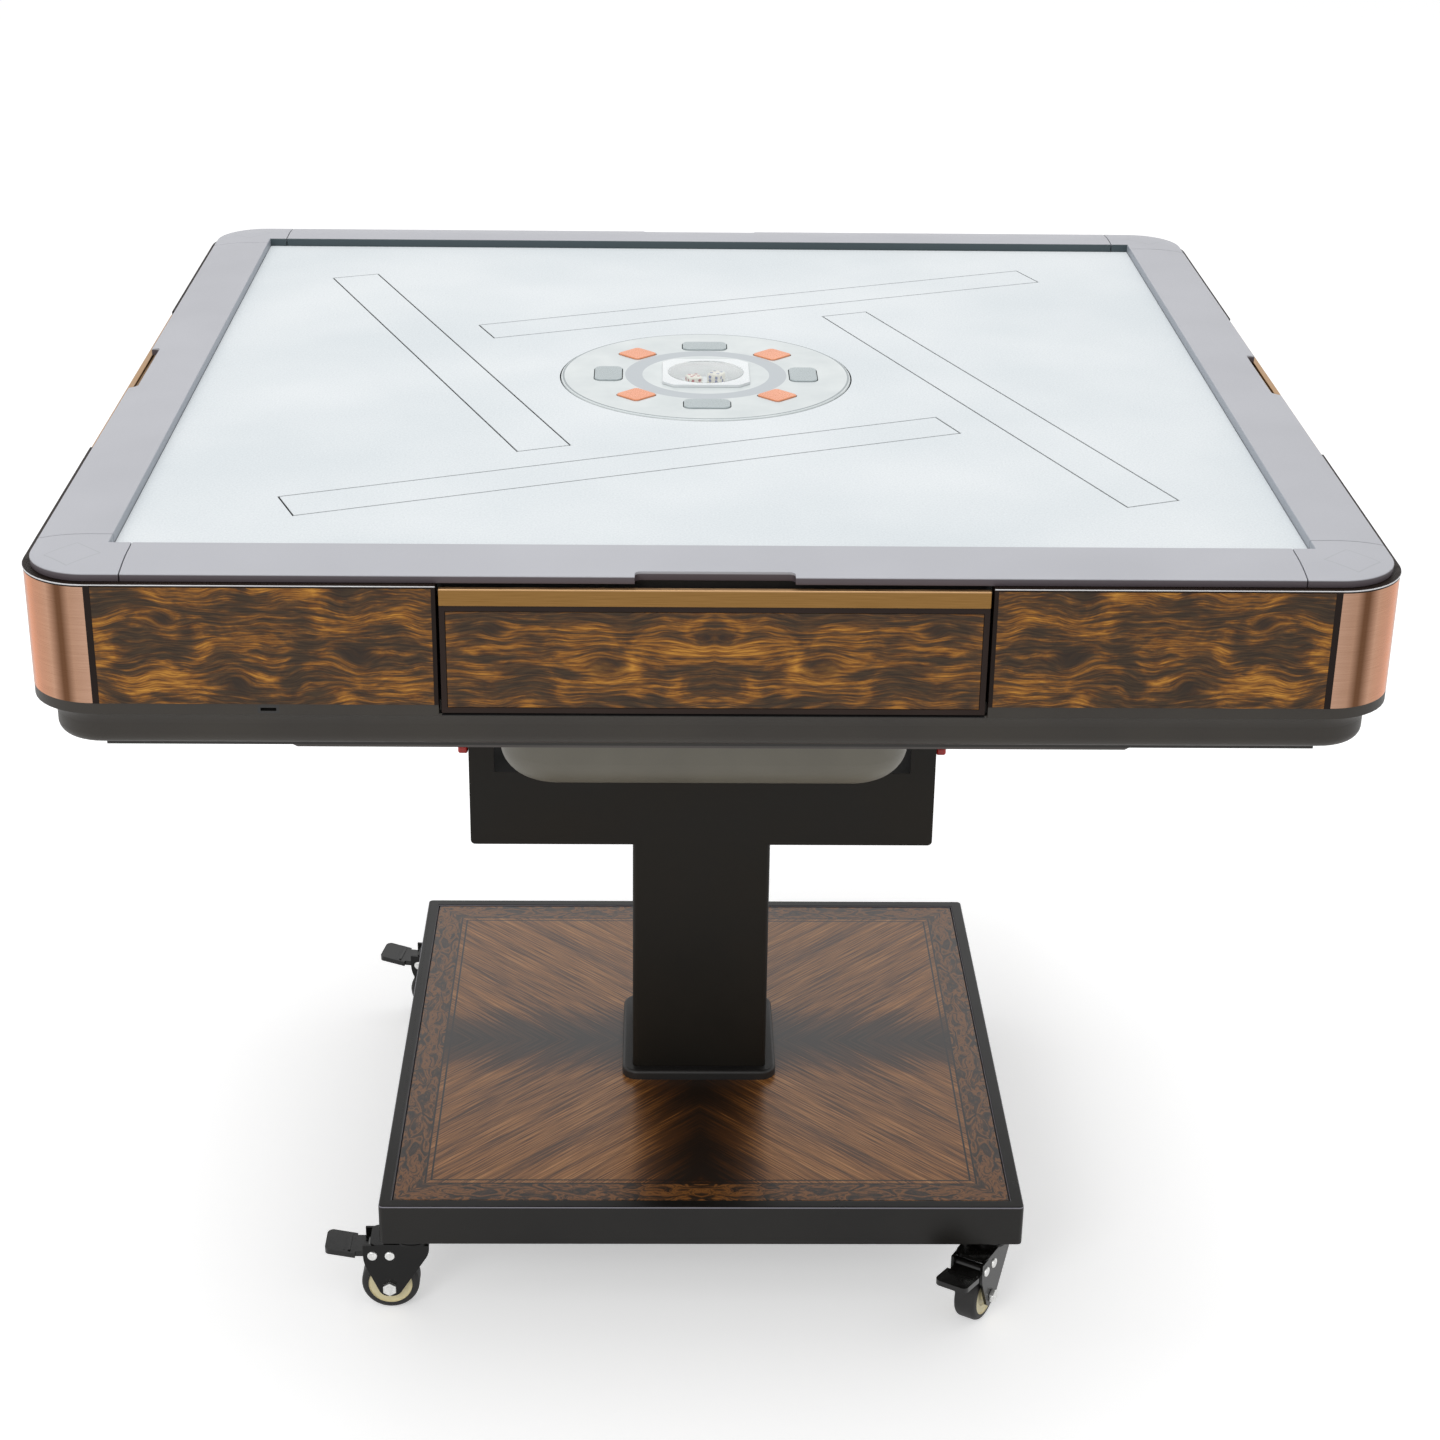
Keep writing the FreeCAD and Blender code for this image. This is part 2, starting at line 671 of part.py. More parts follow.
# Dial plate with its eight buttons, dice and clear dome
def make_dial():
    top_z = felt_z + dial_rise
    plate = rod(dial_radius, top_z - dial_thickness, top_z)
    rim_edges = [edge for edge in plate.Edges if edge.BoundBox.ZMin > top_z - dial_thickness / 2]
    plate = plate.makeFillet(dial_edge_round, rim_edges)
    plate = plate.cut(rod(dial_well_radius, top_z - dial_well_depth, top_z + overrun))
    pocket_z = top_z - button_pocket_depth
    button_low_z = pocket_z + button_travel + fit_gap
    for index in range(8):
        kind = "grey" if index % 2 == 0 else "orange"
        turn = 45 * index
        cutter = moved(button_solid(kind, button_gap, pocket_z, top_z + overrun), 0, -button_orbit)
        plate = plate.cut(turned(cutter, turn))
        button = moved(button_solid(kind, 0, button_low_z, top_z + button_proud), 0, -button_orbit)
        name = "rise_button_" if kind == "grey" else "dice_button_"
        save(name + SIDES[index // 2], [turned(button, turn)])
    save("dial_plate", [plate])
    frame_top_z = top_z + dome_frame_height
    flat = dome_frame_width / 2
    cut = flat - dome_frame_chamfer
    octagon = [(flat, -cut), (flat, cut), (cut, flat), (-cut, flat),
               (-flat, cut), (-flat, -cut), (-cut, -flat), (cut, -flat)]
    frame = prism([point(x, y, top_z) for x, y in octagon], point(0, 0, dome_frame_height))
    ball_radius = (dome_radius ** 2 + dome_height ** 2) / (2 * dome_height)
    ball_z = frame_top_z + dome_height - ball_radius
    cap_zone = rod(dome_radius, frame_top_z, frame_top_z + dome_height + overrun)
    cap = Part.makeSphere(ball_radius, point(0, 0, ball_z)).common(cap_zone)
    dome = frame.fuse(cap).removeSplitter()
    hollow = Part.makeSphere(ball_radius - dome_wall, point(0, 0, ball_z))
    hollow_zone = rod(dome_radius - dome_wall, top_z - overrun, frame_top_z + dome_height)
    dome = dome.cut(rod(dome_radius - dome_wall, top_z - overrun, frame_top_z))
    dome = dome.cut(hollow.common(hollow_zone))
    save("dice_dome", [dome])
    dice = []
    floor_z = top_z - dial_well_depth
    for sign, turn in zip((-1, 1), die_turns):
        die = block(-die_size / 2, die_size / 2, -die_size / 2, die_size / 2, floor_z, floor_z + die_size)
        dice.append(moved(turned(die, turn), sign * die_spacing / 2, 0))
    save("dice", dice)


# Drawers: box with slide bars, front with dark frame, wood panel and bronze pull, and the runners
def make_drawers():
    front_half = drawer_width / 2
    front_back = face_half - drawer_front_thickness
    front_low_z = skirt_top_z - drawer_overhang
    pull_low_z = panel_top_z - pull_height
    frame = block(-front_half, front_half, -face_half, -front_back, front_low_z, pull_low_z)
    inlay_half = front_half - drawer_frame_edge
    inlay = block(-inlay_half, inlay_half, -face_half - overrun, -face_half + drawer_inlay_depth,
                  front_low_z + drawer_frame_edge, pull_low_z - drawer_frame_edge)
    frame = frame.cut(inlay)
    panel = block(-inlay_half, inlay_half, -face_half, -face_half + drawer_inlay_depth,
                  front_low_z + drawer_frame_edge, pull_low_z - drawer_frame_edge)
    pull = block(-front_half, front_half, -face_half - pull_proud, -front_back, pull_low_z, panel_top_z)
    pull = pull.cut(block(-front_half - overrun, front_half + overrun,
                          -front_back - pull_lip_depth - pull_lip_depth, -front_back + overrun,
                          panel_top_z - pull_lip_height, panel_top_z + overrun))
    box_half = front_half - drawer_box_inset
    box_low_z = skirt_top_z + drawer_box_gap
    box_high_z = box_low_z + drawer_box_height
    box_back = front_back - drawer_depth
    box = block(-box_half, box_half, -front_back, -box_back, box_low_z, box_high_z)
    box = box.cut(block(-box_half + drawer_box_wall, box_half - drawer_box_wall,
                        -front_back + drawer_box_wall, -box_back - drawer_box_wall,
                        box_low_z + drawer_box_wall, box_high_z + overrun))
    bar_z = box_low_z + bar_rise
    runner_front = wall_inner_half
    runner_back = runner_front - runner_length
    bar = block(box_half, box_half + bar_width, -runner_front, -runner_back, bar_z, bar_z + bar_height)
    box = box.fuse(bar).fuse(mirrored_x(bar)).removeSplitter()
    channel_x = box_half + bar_width + fit_gap
    flange_x = box_half + fit_gap
    low_flange_z = bar_z - fit_gap - runner_flange
    high_flange_z = bar_z + bar_height + fit_gap
    channel_top_z = high_flange_z + runner_flange
    runner = block(channel_x, channel_x + runner_thickness, -runner_front, -runner_back,
                   low_flange_z, channel_top_z)
    runner = runner.fuse(block(flange_x, channel_x, -runner_front, -runner_back,
                               low_flange_z, low_flange_z + runner_flange))
    runner = runner.fuse(block(flange_x, channel_x, -runner_front, -runner_back,
                               high_flange_z, channel_top_z))
    runner = runner.fuse(block(channel_x, channel_x + runner_leg_width,
                               -skirt_inner_half, -skirt_inner_half + chassis_tube,
                               chassis_top_z, channel_top_z)).removeSplitter()
    save("drawer_runners", four(runner) + four(mirrored_x(runner)))
    for turn, side in enumerate(SIDES):
        save("drawer_box_" + side, [turned(box, 90 * turn)])
        save("drawer_front_" + side, [turned(solid, 90 * turn) for solid in (frame, panel, pull)])


# Control box on the cover, with the power inlet that opens downward through it
def make_control_box():
    box_x = control_side()
    box = block(box_x, box_x + control_width, control_y, control_y + control_length,
                cover_top_z, cover_top_z + control_height)
    inlet_x = control_side() + control_width / 2
    inlet_y = control_y + control_length / 2
    nose = block(inlet_x - inlet_width / 2, inlet_x + inlet_width / 2,
                 inlet_y - inlet_length / 2, inlet_y + inlet_length / 2, underside_z, cover_top_z)
    hollow_x = inlet_width / 2 - inlet_wall
    hollow_y = inlet_length / 2 - inlet_wall
    hollow = block(inlet_x - hollow_x, inlet_x + hollow_x, inlet_y - hollow_y, inlet_y + hollow_y,
                   underside_z - overrun, underside_z + inlet_depth)
    save("control_box", [box.fuse(nose).removeSplitter().cut(hollow)])


# Base pan, wood panel, column and collar
def make_pedestal():
    pan = rounded_block(base_half, base_half, base_round, caster_height, base_top_z)
    inner_half = base_half - base_border
    pan = pan.cut(block(-inner_half, inner_half, -inner_half, inner_half,
                        recess_floor_z, base_top_z + overrun))
    cavity_half = base_half - base_wall - base_round
    pan = pan.cut(block(-cavity_half, cavity_half, -cavity_half, cavity_half,
                        caster_height + base_wall, recess_floor_z - base_wall))
    save("base_frame", [pan])
    panel_half = inner_half - base_panel_gap
    hole_x = column_width / 2 + seam_gap
    hole_y = column_depth / 2 + seam_gap
    panel = block(-panel_half, panel_half, -panel_half, panel_half, recess_floor_z, base_panel_top_z)
    panel = panel.cut(block(-hole_x, hole_x, -hole_y, hole_y,
                            recess_floor_z - overrun, base_panel_top_z + overrun))
    save("base_panel", [panel])
    tube = rounded_block(column_width / 2, column_depth / 2, column_round, recess_floor_z, yoke_bottom_z)
    bore_x = column_width / 2 - column_wall
    bore_y = column_depth / 2 - column_wall
    tube = tube.cut(block(-bore_x, bore_x, -bore_y, bore_y,
                          recess_floor_z - overrun, yoke_bottom_z + overrun))
    save("column_tube", [tube])
    collar_top_z = base_panel_top_z + collar_height
    collar = rounded_block(column_width / 2 + collar_width, column_depth / 2 + collar_width,
                           column_round + collar_width, base_panel_top_z, collar_top_z)
    upper = [edge for edge in collar.Edges if edge.BoundBox.ZMin > collar_top_z - collar_height / 2]
    collar = collar.makeFillet(collar_round, upper)
    collar = collar.cut(rounded_block(column_width / 2, column_depth / 2, column_round,
                                      base_panel_top_z - overrun, collar_top_z + overrun))
    save("column_collar", [collar])


# Yoke: crossbar and two arms, with the pivot pins, bumpers and the lock shaft
def make_yoke():
    half_depth = yoke_depth / 2
    bar = block(-yoke_half, yoke_half, -half_depth, half_depth, yoke_bottom_z, crossbar_top_z)
    lower = [edge for edge in bar.Edges
             if edge.BoundBox.YLength > half_depth and edge.BoundBox.ZMax < crossbar_top_z - yoke_round]
    bar = bar.makeFillet(yoke_round, lower)
    bar = bar.cut(block(-yoke_half + yoke_wall, yoke_half - yoke_wall, -half_depth + yoke_wall,
                        half_depth - yoke_wall, yoke_bottom_z + yoke_wall, crossbar_top_z - yoke_wall))
    inner_x = yoke_half - arm_thickness
    outline = [(-half_depth, crossbar_top_z), (-half_depth, arm_top_z), (pivot_back, arm_top_z),
               (pivot_back + pivot_drop, pivot_z), (half_depth, crossbar_top_z)]
    arm = prism([point(inner_x, y, z) for y, z in outline], point(arm_thickness, 0, 0))
    arm = arm.fuse(rod_along_x(pivot_drop, yoke_half - pivot_boss_length, yoke_half, pivot_back, pivot_z))
    arm = arm.fuse(block(yoke_half - arm_flange_width, yoke_half, -half_depth, -half_depth + yoke_wall,
                         crossbar_top_z, arm_top_z))
    arm = arm.removeSplitter()
    arm = arm.cut(rod_along_x(pivot_pin_radius, 0, yoke_half + overrun, pivot_back, pivot_z))
    shaft_y = -half_depth + lock_front
    shaft_z = crossbar_top_z + lock_rise
    arm = arm.cut(rod_along_x(lock_shaft_radius + fit_gap, 0, yoke_half + overrun, shaft_y, shaft_z))
    bumper = block(inner_x, yoke_half, -half_depth, -half_depth + bumper_length,
                   arm_top_z, arm_top_z + bumper_height)
    save("yoke", [bar, arm, mirrored_x(arm), bumper, mirrored_x(bumper)])
    lug_end = yoke_half + lug_gap + lug_thickness + fit_gap
    pin = rod_along_x(pivot_pin_radius, yoke_half - pivot_boss_length, lug_end, pivot_back, pivot_z)
    pin = pin.fuse(rod_along_x(pivot_head_radius, lug_end, lug_end + pivot_head_length,
                               pivot_back, pivot_z)).removeSplitter()
    save("pivot_pins", [pin, mirrored_x(pin)])
    lever_x = yoke_half + lock_lever_gap
    lever_end = lever_x + lock_lever_thickness
    shaft = rod_along_x(lock_shaft_radius, -lever_end, lever_end, shaft_y, shaft_z)
    lever = block(lever_x, lever_end, shaft_y - lock_lever_width / 2, shaft_y + lock_lever_width / 2,
                  shaft_z - lock_lever_length, shaft_z)
    lever = lever.fuse(rod_along_x(lock_lever_width / 2, lever_x, lever_end, shaft_y, shaft_z))
    shaft = shaft.fuse(lever).fuse(mirrored_x(lever)).removeSplitter()
    grip_z = shaft_z - lock_lever_length
    grip_middle = lever_x + lock_lever_thickness / 2
    grip = block(grip_middle - lock_grip_thickness / 2 + fit_gap, grip_middle + lock_grip_thickness / 2,
                 shaft_y - lock_lever_width / 2, shaft_y + lock_lever_width / 2,
                 grip_z - lock_grip_length, grip_z)
    save("fold_lock_levers", [shaft, grip, mirrored_x(grip)])


# Fork of one caster with its axle bolt and pedal pin, trailing toward +X from the kingpin
def fork_solids():
    head_top_z = caster_height - caster_plate_thickness - fit_gap
    crown_z = head_top_z - fork_head_height
    leg_inner = wheel_width / 2 + fork_wheel_gap
    leg_outer = leg_inner + fork_leg_thickness
    fork = rod(fork_head_radius, crown_z, head_top_z)
    fork = fork.fuse(block(-fork_nose, caster_trail + fork_tail, -leg_outer, leg_outer,
                           crown_z, crown_z + fork_crown_thickness))
    foot_z = wheel_radius - fork_foot
    pedal_z = wheel_radius + pedal_pin_rise
    outline = [(-fork_nose, crown_z + fork_crown_thickness), (-fork_nose, pedal_z),
               (caster_trail - fork_foot, foot_z), (caster_trail + fork_foot, foot_z),
               (caster_trail + fork_tail, pedal_z - fork_foot),
               (caster_trail + fork_tail, crown_z + fork_crown_thickness)]
    for side_y in (-leg_outer, leg_inner):
        leg = prism([point(x, side_y, z) for x, z in outline], point(0, fork_leg_thickness, 0))
        fork = fork.fuse(leg)
    fork = fork.removeSplitter()
    fork = fork.cut(rod(kingpin_radius + fit_gap, crown_z - overrun, head_top_z + overrun))
    fork = fork.cut(rod_along_y(axle_radius + pin_gap, -leg_outer - overrun, leg_outer + overrun,
                                caster_trail, wheel_radius))
    pin_x = caster_trail + pedal_pin_back
    fork = fork.cut(rod_along_y(pedal_pin_radius + pin_gap, -leg_outer - overrun, leg_outer + overrun,
                                pin_x, pedal_z))
    nut_end = leg_outer + axle_nut_height
    axle = rod_along_y(axle_radius, -nut_end, nut_end, caster_trail, wheel_radius)
    rivet_end = leg_outer + rivet_height
    pin = rod_along_y(pedal_pin_radius, -rivet_end, rivet_end, pin_x, pedal_z)
    for side_y in (-1, 1):
        low, high = sorted((side_y * leg_outer, side_y * nut_end))
        axle = axle.fuse(rod_along_y(axle_nut_radius, low, high, caster_trail, wheel_radius))
        low, high = sorted((side_y * leg_outer, side_y * rivet_end))
        pin = pin.fuse(rod_along_y(rivet_radius, low, high, pin_x, pedal_z))
    return [fork, axle.removeSplitter(), pin.removeSplitter()]


def wheel_solids():
    half = wheel_width / 2
    tyre = rod_along_y(wheel_radius, -half, half, caster_trail, wheel_radius)
    tyre = tyre.makeFillet(wheel_edge_round, [edge for edge in tyre.Edges if edge.BoundBox.YLength < half])
    tyre = tyre.cut(rod_along_y(wheel_core_radius, -half - overrun, half + overrun,
                                caster_trail, wheel_radius))
    core = rod_along_y(wheel_core_radius, -half, half, caster_trail, wheel_radius)
    core = core.cut(rod_along_y(axle_radius + pin_gap, -half - overrun, half + overrun,
                                caster_trail, wheel_radius))
    return [tyre, core]


def pedal_solids():
    pin_x = caster_trail + pedal_pin_back
    pedal_z = wheel_radius + pedal_pin_rise
    half = wheel_width / 2 + fork_wheel_gap - fit_gap
    arm_end = pin_x + pedal_arm_length
    pedal = rod_along_y(pedal_hub_radius, -half, half, pin_x, pedal_z)
    pedal = pedal.fuse(block(pin_x, arm_end, -half, half,
                             pedal_z - pedal_arm_thickness / 2, pedal_z + pedal_arm_thickness / 2))
    pad_low_z = pedal_z - pedal_arm_thickness / 2
    outline = [(arm_end - pedal_pad_thickness, pad_low_z),
               (arm_end - pedal_pad_thickness + pedal_pad_length, pad_low_z + pedal_pad_rise),
               (arm_end - pedal_pad_thickness + pedal_pad_length,
                pad_low_z + pedal_pad_rise + pedal_pad_thickness),
               (arm_end - pedal_pad_thickness, pad_low_z + pedal_pad_thickness)]
    pad = prism([point(x, -pedal_pad_width / 2, z) for x, z in outline], point(0, pedal_pad_width, 0))
    pedal = pedal.fuse(pad).removeSplitter()
    bore = rod_along_y(pedal_pin_radius + pin_gap, -half - overrun, half + overrun, pin_x, pedal_z)
    return [pedal.cut(bore)]


# Four casters, each turned to its own heading about its kingpin
def make_casters():
    reach = base_half - caster_inset
    corners = {"front_left": (-reach, -reach), "front_right": (reach, -reach),
               "back_right": (reach, reach), "back_left": (-reach, reach)}
    plate_low_z = caster_height - caster_plate_thickness
    pin_low_z = plate_low_z - fit_gap - fork_head_height - fit_gap
    plate = rounded_block(caster_plate_half, caster_plate_half, caster_plate_round,
                          plate_low_z, caster_height)
    plate = plate.fuse(rod(kingpin_radius, pin_low_z, plate_low_z))
    plate = plate.fuse(rod(kingpin_head_radius, pin_low_z - kingpin_head_height, pin_low_z))
    plate = plate.removeSplitter()
    save("caster_plates", [moved(plate, x, y) for x, y in corners.values()])
    for corner, (x, y) in corners.items():
        heading = caster_headings[corner]
        for kind, solids in (("fork", fork_solids()), ("wheel", wheel_solids()), ("pedal", pedal_solids())):
            placed = [moved(turned(solid, heading), x, y) for solid in solids]
            save("caster_" + kind + "_" + corner, placed)


def main():
    os.makedirs("parts", exist_ok=True)
    make_rim()
    make_play_board()
    make_lifts()
    make_apron()
    make_skirt()
    make_chassis()
    make_bottom_cover()
    make_tub()
    make_chute()
    make_dial()
    make_drawers()
    make_control_box()
    make_pedestal()
    make_yoke()
    make_casters()


main()
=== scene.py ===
import json
import math

import bpy
from mathutils import Matrix, Vector

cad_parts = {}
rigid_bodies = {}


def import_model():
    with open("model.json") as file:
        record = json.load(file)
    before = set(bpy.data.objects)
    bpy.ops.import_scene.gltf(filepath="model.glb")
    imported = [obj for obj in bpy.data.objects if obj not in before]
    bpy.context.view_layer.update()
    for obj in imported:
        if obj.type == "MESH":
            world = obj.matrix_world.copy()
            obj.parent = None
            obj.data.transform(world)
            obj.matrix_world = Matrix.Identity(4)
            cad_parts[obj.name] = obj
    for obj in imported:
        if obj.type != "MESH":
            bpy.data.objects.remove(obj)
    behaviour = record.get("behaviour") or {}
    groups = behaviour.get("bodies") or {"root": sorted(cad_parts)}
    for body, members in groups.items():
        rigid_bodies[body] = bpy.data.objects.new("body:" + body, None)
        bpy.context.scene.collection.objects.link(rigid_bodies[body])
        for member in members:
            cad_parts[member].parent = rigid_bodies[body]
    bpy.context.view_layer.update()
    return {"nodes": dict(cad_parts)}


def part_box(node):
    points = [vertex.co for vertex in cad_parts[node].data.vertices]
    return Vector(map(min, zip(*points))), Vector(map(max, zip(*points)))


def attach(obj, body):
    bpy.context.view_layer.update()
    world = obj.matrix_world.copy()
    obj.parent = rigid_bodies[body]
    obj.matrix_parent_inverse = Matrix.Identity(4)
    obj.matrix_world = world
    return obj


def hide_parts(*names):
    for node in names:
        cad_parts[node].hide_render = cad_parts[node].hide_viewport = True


# The start scene is emptied, so that only the table is in it
for left_over in list(bpy.data.objects):
    bpy.data.objects.remove(left_over)
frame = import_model()

# Lengths in this script are millimetres, and the scene is in metres
MM = 0.001
SIDES = ("front", "right", "back", "left")
CORNERS = ("front_left", "front_right", "back_right", "back_left")


def limits(node):
    """The lowest and highest corner of a node of the part, in millimetres."""
    low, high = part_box(node)
    return Vector(low) / MM, Vector(high) / MM


# Levels and reaches that the part fixes
rim_low, rim_high = limits("rim_rails")
rim_half = rim_high.x
rim_z = rim_low.z
rim_top_z = rim_high.z
board_half = limits("play_board")[1].x
felt_z = limits("play_board")[1].z
lift_top_z = limits("lift_platform_front")[1].z
panel_low, panel_high = limits("wood_panels")
face_half = -panel_low.y
panel_z = panel_low.z
panel_top_z = panel_high.z
sill_z = limits("drawer_front_front")[0].z
base_low, base_high = limits("base_frame")
base_half = base_high.x
base_z = base_low.z
base_top_z = base_high.z
column_low, column_high = limits("column_tube")
yoke_low, yoke_high = limits("yoke")
yoke_half = yoke_high.x
yoke_front = -yoke_low.y
dial_low, dial_high = limits("dial_plate")
dial_radius = dial_high.x
dial_z = dial_high.z
dice_z = limits("dice")[0].z

# How far a cutter reaches past what it cuts
overrun = 5.0

# How near to a level an edge counts as lying on it
hair = 0.1

# The angle in degrees past which an edge counts as sharp
sharp_angle = 40

# Sizes of the rim, the field and the trim line
rim_inner = 422.0
rim_flat = 18.0
rim_fall = 3.5
rim_edge_z = rim_top_z - rim_fall
rim_bevel = 1.0
rim_corner = 45.0
rim_slope_shares = (0.0, 0.06, 0.18, 0.34, 0.54, 0.77, 1.0)
cap_line = 406.0
cap_seam = 0.35
notch_half = 55.0
notch_depth = 7.5
notch_round = 4.0
rail_edge = 0.5
lozenge_centre = 443.5
lozenge_reach = 19.5
lozenge_line = 0.7
felt_thickness = 0.7
felt_edge_gap = 0.4
dial_hole = 122.9
trim_face = 480.7
trim_depth = 8.0
trim_height = 0.9
trim_round = 0.4
trim_corner_edge = 0.3
lift_angle = 21.5
lift_distance = 190.0
lift_shift = -139.0
lift_length = 540.0
lift_width = 42.0
lift_slot_gap = 1.5

# Sizes of the apron and the drawers
opening_half = 191.0
strip_width = 4.5
corner_centre = 430.0
corner_spare = 0.2
panel_thickness = 5.0
panel_lap = 1.7
panel_proud = 0.65
panel_edge = 0.4
post_wall = 5.0
post_edge = 0.5
drawer_half = 189.0
drawer_back = 472.0
drawer_edge = 4.2
drawer_frame_round = 0.6
inlay_depth = 2.0
leaf_gap = 0.2
leaf_sunk = 0.3
leaf_edge = 0.3
pull_height = 12.5
pull_proud = 1.0
pull_edge = 0.7
pull_step_depth = 4.0
pull_step_height = 2.0
pull_highlight_depth = 0.9
seat_gap = 1.7
seat_depth = 8.0
seat_thickness = 0.4
seat_sunk = 0.2
seat_edge = 0.1

# Sizes of the pedestal
base_border = 11.0
base_round = 4.0
base_lip_round = 1.4
base_foot_round = 0.8
# How far below the border's top the pan's painted highlight line lies
base_highlight_line = 0.8
recess_floor_z = 112.5
base_panel_half = 263.0
base_panel_top_z = 115.0
base_panel_edge = 0.4
inlay_border = 25.0
inlay_line = 1.6
inlay_line_pitch = 5.12
column_half = 61.0
column_round = 5.0
column_gap = 1.0
collar_half = 70.5
collar_round = 14.5
collar_top_round = 3.0
collar_top_z = 124.0
collar_gap = 0.2
crossbar_top_z = 424.0
yoke_round = 4.0
yoke_edge = 0.8
arm_thickness = 6.0
arm_top_z = 620.5
pivot_back = 110.0
pivot_z = 602.5
pin_hole_radius = 8.1
boss_radius = 18.0
boss_depth = 18.0
crest_run = 25.0
flange_width = 22.0
flange_thickness = 4.0
bumper_length = 60.0
bumper_top_z = 624.2
bumper_edge = 1.0

# Sizes of the lock shaft
lock_back = -39.0
lock_z = 447.0
lock_radius = 4.0
lever_x = 208.0
lever_thickness = 4.0
lever_half = 5.0
lever_low_z = 437.0
lever_rise = 6.0
lever_round = 4.5
lever_edge = 0.4
grip_x = 205.8
grip_end_x = 214.5
grip_half = 6.0
grip_low_z = 433.0
grip_high_z = 440.0
grip_edge = 2.0

# Sizes of the dial
dial_round = 2.0
dial_lip = 2.2
dial_lip_half = 0.8
smoked_ring = 60.7
smoked_ring_width = 14.5
button_orbit = 82.0
button_length = 38.0
button_width = 23.0
button_round = 6.0
diamond_side = 24.5
diamond_round = 3.5
button_gap = 0.7
button_edge = 0.9
button_depth = 7.7
button_proud = 1.2
button_low_z = dial_z - button_depth
button_top_z = dial_z + button_proud
pocket_depth = 10.0
pocket_reach = 28.0
pocket_shade = 0.4
well_radius = 33.0
well_depth = 12.0
well_lip = 0.5
dome_frame_half = 36.5
dome_frame_height = 2.6
dome_frame_top_z = dial_z + dome_frame_height
dome_frame_chamfer = 9.0
dome_frame_edge = 0.5
dome_radius = 31.8
dome_height = 2.9
dome_wall = 1.0
dome_gap = 0.1
dome_ring_shares = (1.0, 0.9, 0.78, 0.64, 0.48, 0.3, 0.12)
die_half = 6.0
die_round = 1.6
die_left_place = (-10.0, -4.0)
die_right_place = (9.0, 5.0)
pip_radius = 1.4
pip_pitch = 3.0
pip_flat_share = 0.25

# Sizes of a caster, which is modelled at the middle of the floor, trailing along x
caster_reach = 249.0
caster_trail = 20.0
caster_headings = {"front_left": 180.0, "front_right": 239.0, "back_right": 200.0, "back_left": 170.0}
caster_signs = {"front_left": (-1, -1), "front_right": (1, -1), "back_right": (1, 1), "back_left": (-1, 1)}
bore_half = 40.0
wheel_radius = 25.0
wheel_width = 20.0
wheel_core_radius = 19.0
wheel_core_seam = 0.2
wheel_bore = 4.3
tyre_round = 4.0
fork_plate_z = 66.3
fork_plate_top_z = 69.3
fork_head_radius = 18.0
fork_head_top_z = 74.7
fork_head_sunk = 1.0
fork_head_round = 2.4
fork_groove_rise = 1.4
fork_groove_width = 0.8
fork_groove_depth = 0.8
fork_back = 15.0
fork_edge = 0.7
crown_front = 36.0
crown_round = 6.0
king_hole = 6.2
fork_leg_in = 12.5
fork_leg_out = 15.0
leg_sunk = 1.2
leg_back_z = 60.0
leg_front = 42.0
leg_front_z = 51.0
leg_low_z = 16.0
leg_foot_back = 13.0
leg_foot_front = 27.0
leg_round = 5.0
axle_hole = 4.2
axle_radius = 4.0
axle_half = 18.0
nut_radius = 6.5
nut_thickness = 4.0
nut_edge = 0.6
rivet_radius = 4.4
rivet_height = 1.7
rivet_sunk = 0.1
rivet_round = 1.2
rivet_pitch = 15.0
pedal_x = 34.0
pedal_z = 58.0
pedal_hub_radius = 5.5
pedal_half = 12.2
pedal_bore = 3.2
pedal_pin_radius = 2.9
pedal_pin_half = 15.5
pedal_arm_length = 20.0
pedal_plate_half = 2.5
pedal_edge = 0.8
pad_start = 15.0
pad_end = 41.0
pad_half = 15.0
pad_round = 5.0
pad_lift = 4.0
ridge_starts = (19.0, 24.0)
ridge_width = 2.2
ridge_half = 12.0
ridge_height = 4.3

# Width and depth of each step of a wheel's side, from the edge of its core inwards
wheel_steps = ((0.5, -1.2), (6.5, 0.0), (1.0, -1.0), (4.5, 0.0), (0.6, 1.8))


# Modelling steps
def rest():
    """Leaves edit mode with nothing selected."""
    if bpy.context.object and bpy.context.object.mode == "EDIT":
        bpy.ops.object.mode_set(mode="OBJECT")
    bpy.ops.object.select_all(action="DESELECT")


def take(piece):
    """Makes one piece the only selected and the active one."""
    rest()
    piece.select_set(True)
    bpy.context.view_layer.objects.active = piece


def settle(piece):
    """Puts a piece's place, turn and size into its mesh."""
    take(piece)
    bpy.ops.object.transform_apply(location=True, rotation=True, scale=True)


def named(name):
    """Names the piece just added and settles it."""
    piece = bpy.context.object
    piece.name = name
    piece.data.name = name
    settle(piece)
    return piece


def about(half):
    """The limits of what lies evenly about the middle."""
    return -half, half


def block(name, x, y, z):
    """A block between a low and a high limit along x, y and z, ready to be shaped."""
    rest()
    spans = [sorted(span) for span in (x, y, z)]
    middle = [(low + high) / 2 * MM for low, high in spans]
    bpy.ops.mesh.primitive_cube_add(size=1, location=middle)
    bpy.context.object.scale = [(high - low) * MM for low, high in spans]
    return named(name)


def slab(name, half, low_z, high_z):
    """A block that is square about the table's middle."""
    return block(name, about(half), about(half), (low_z, high_z))


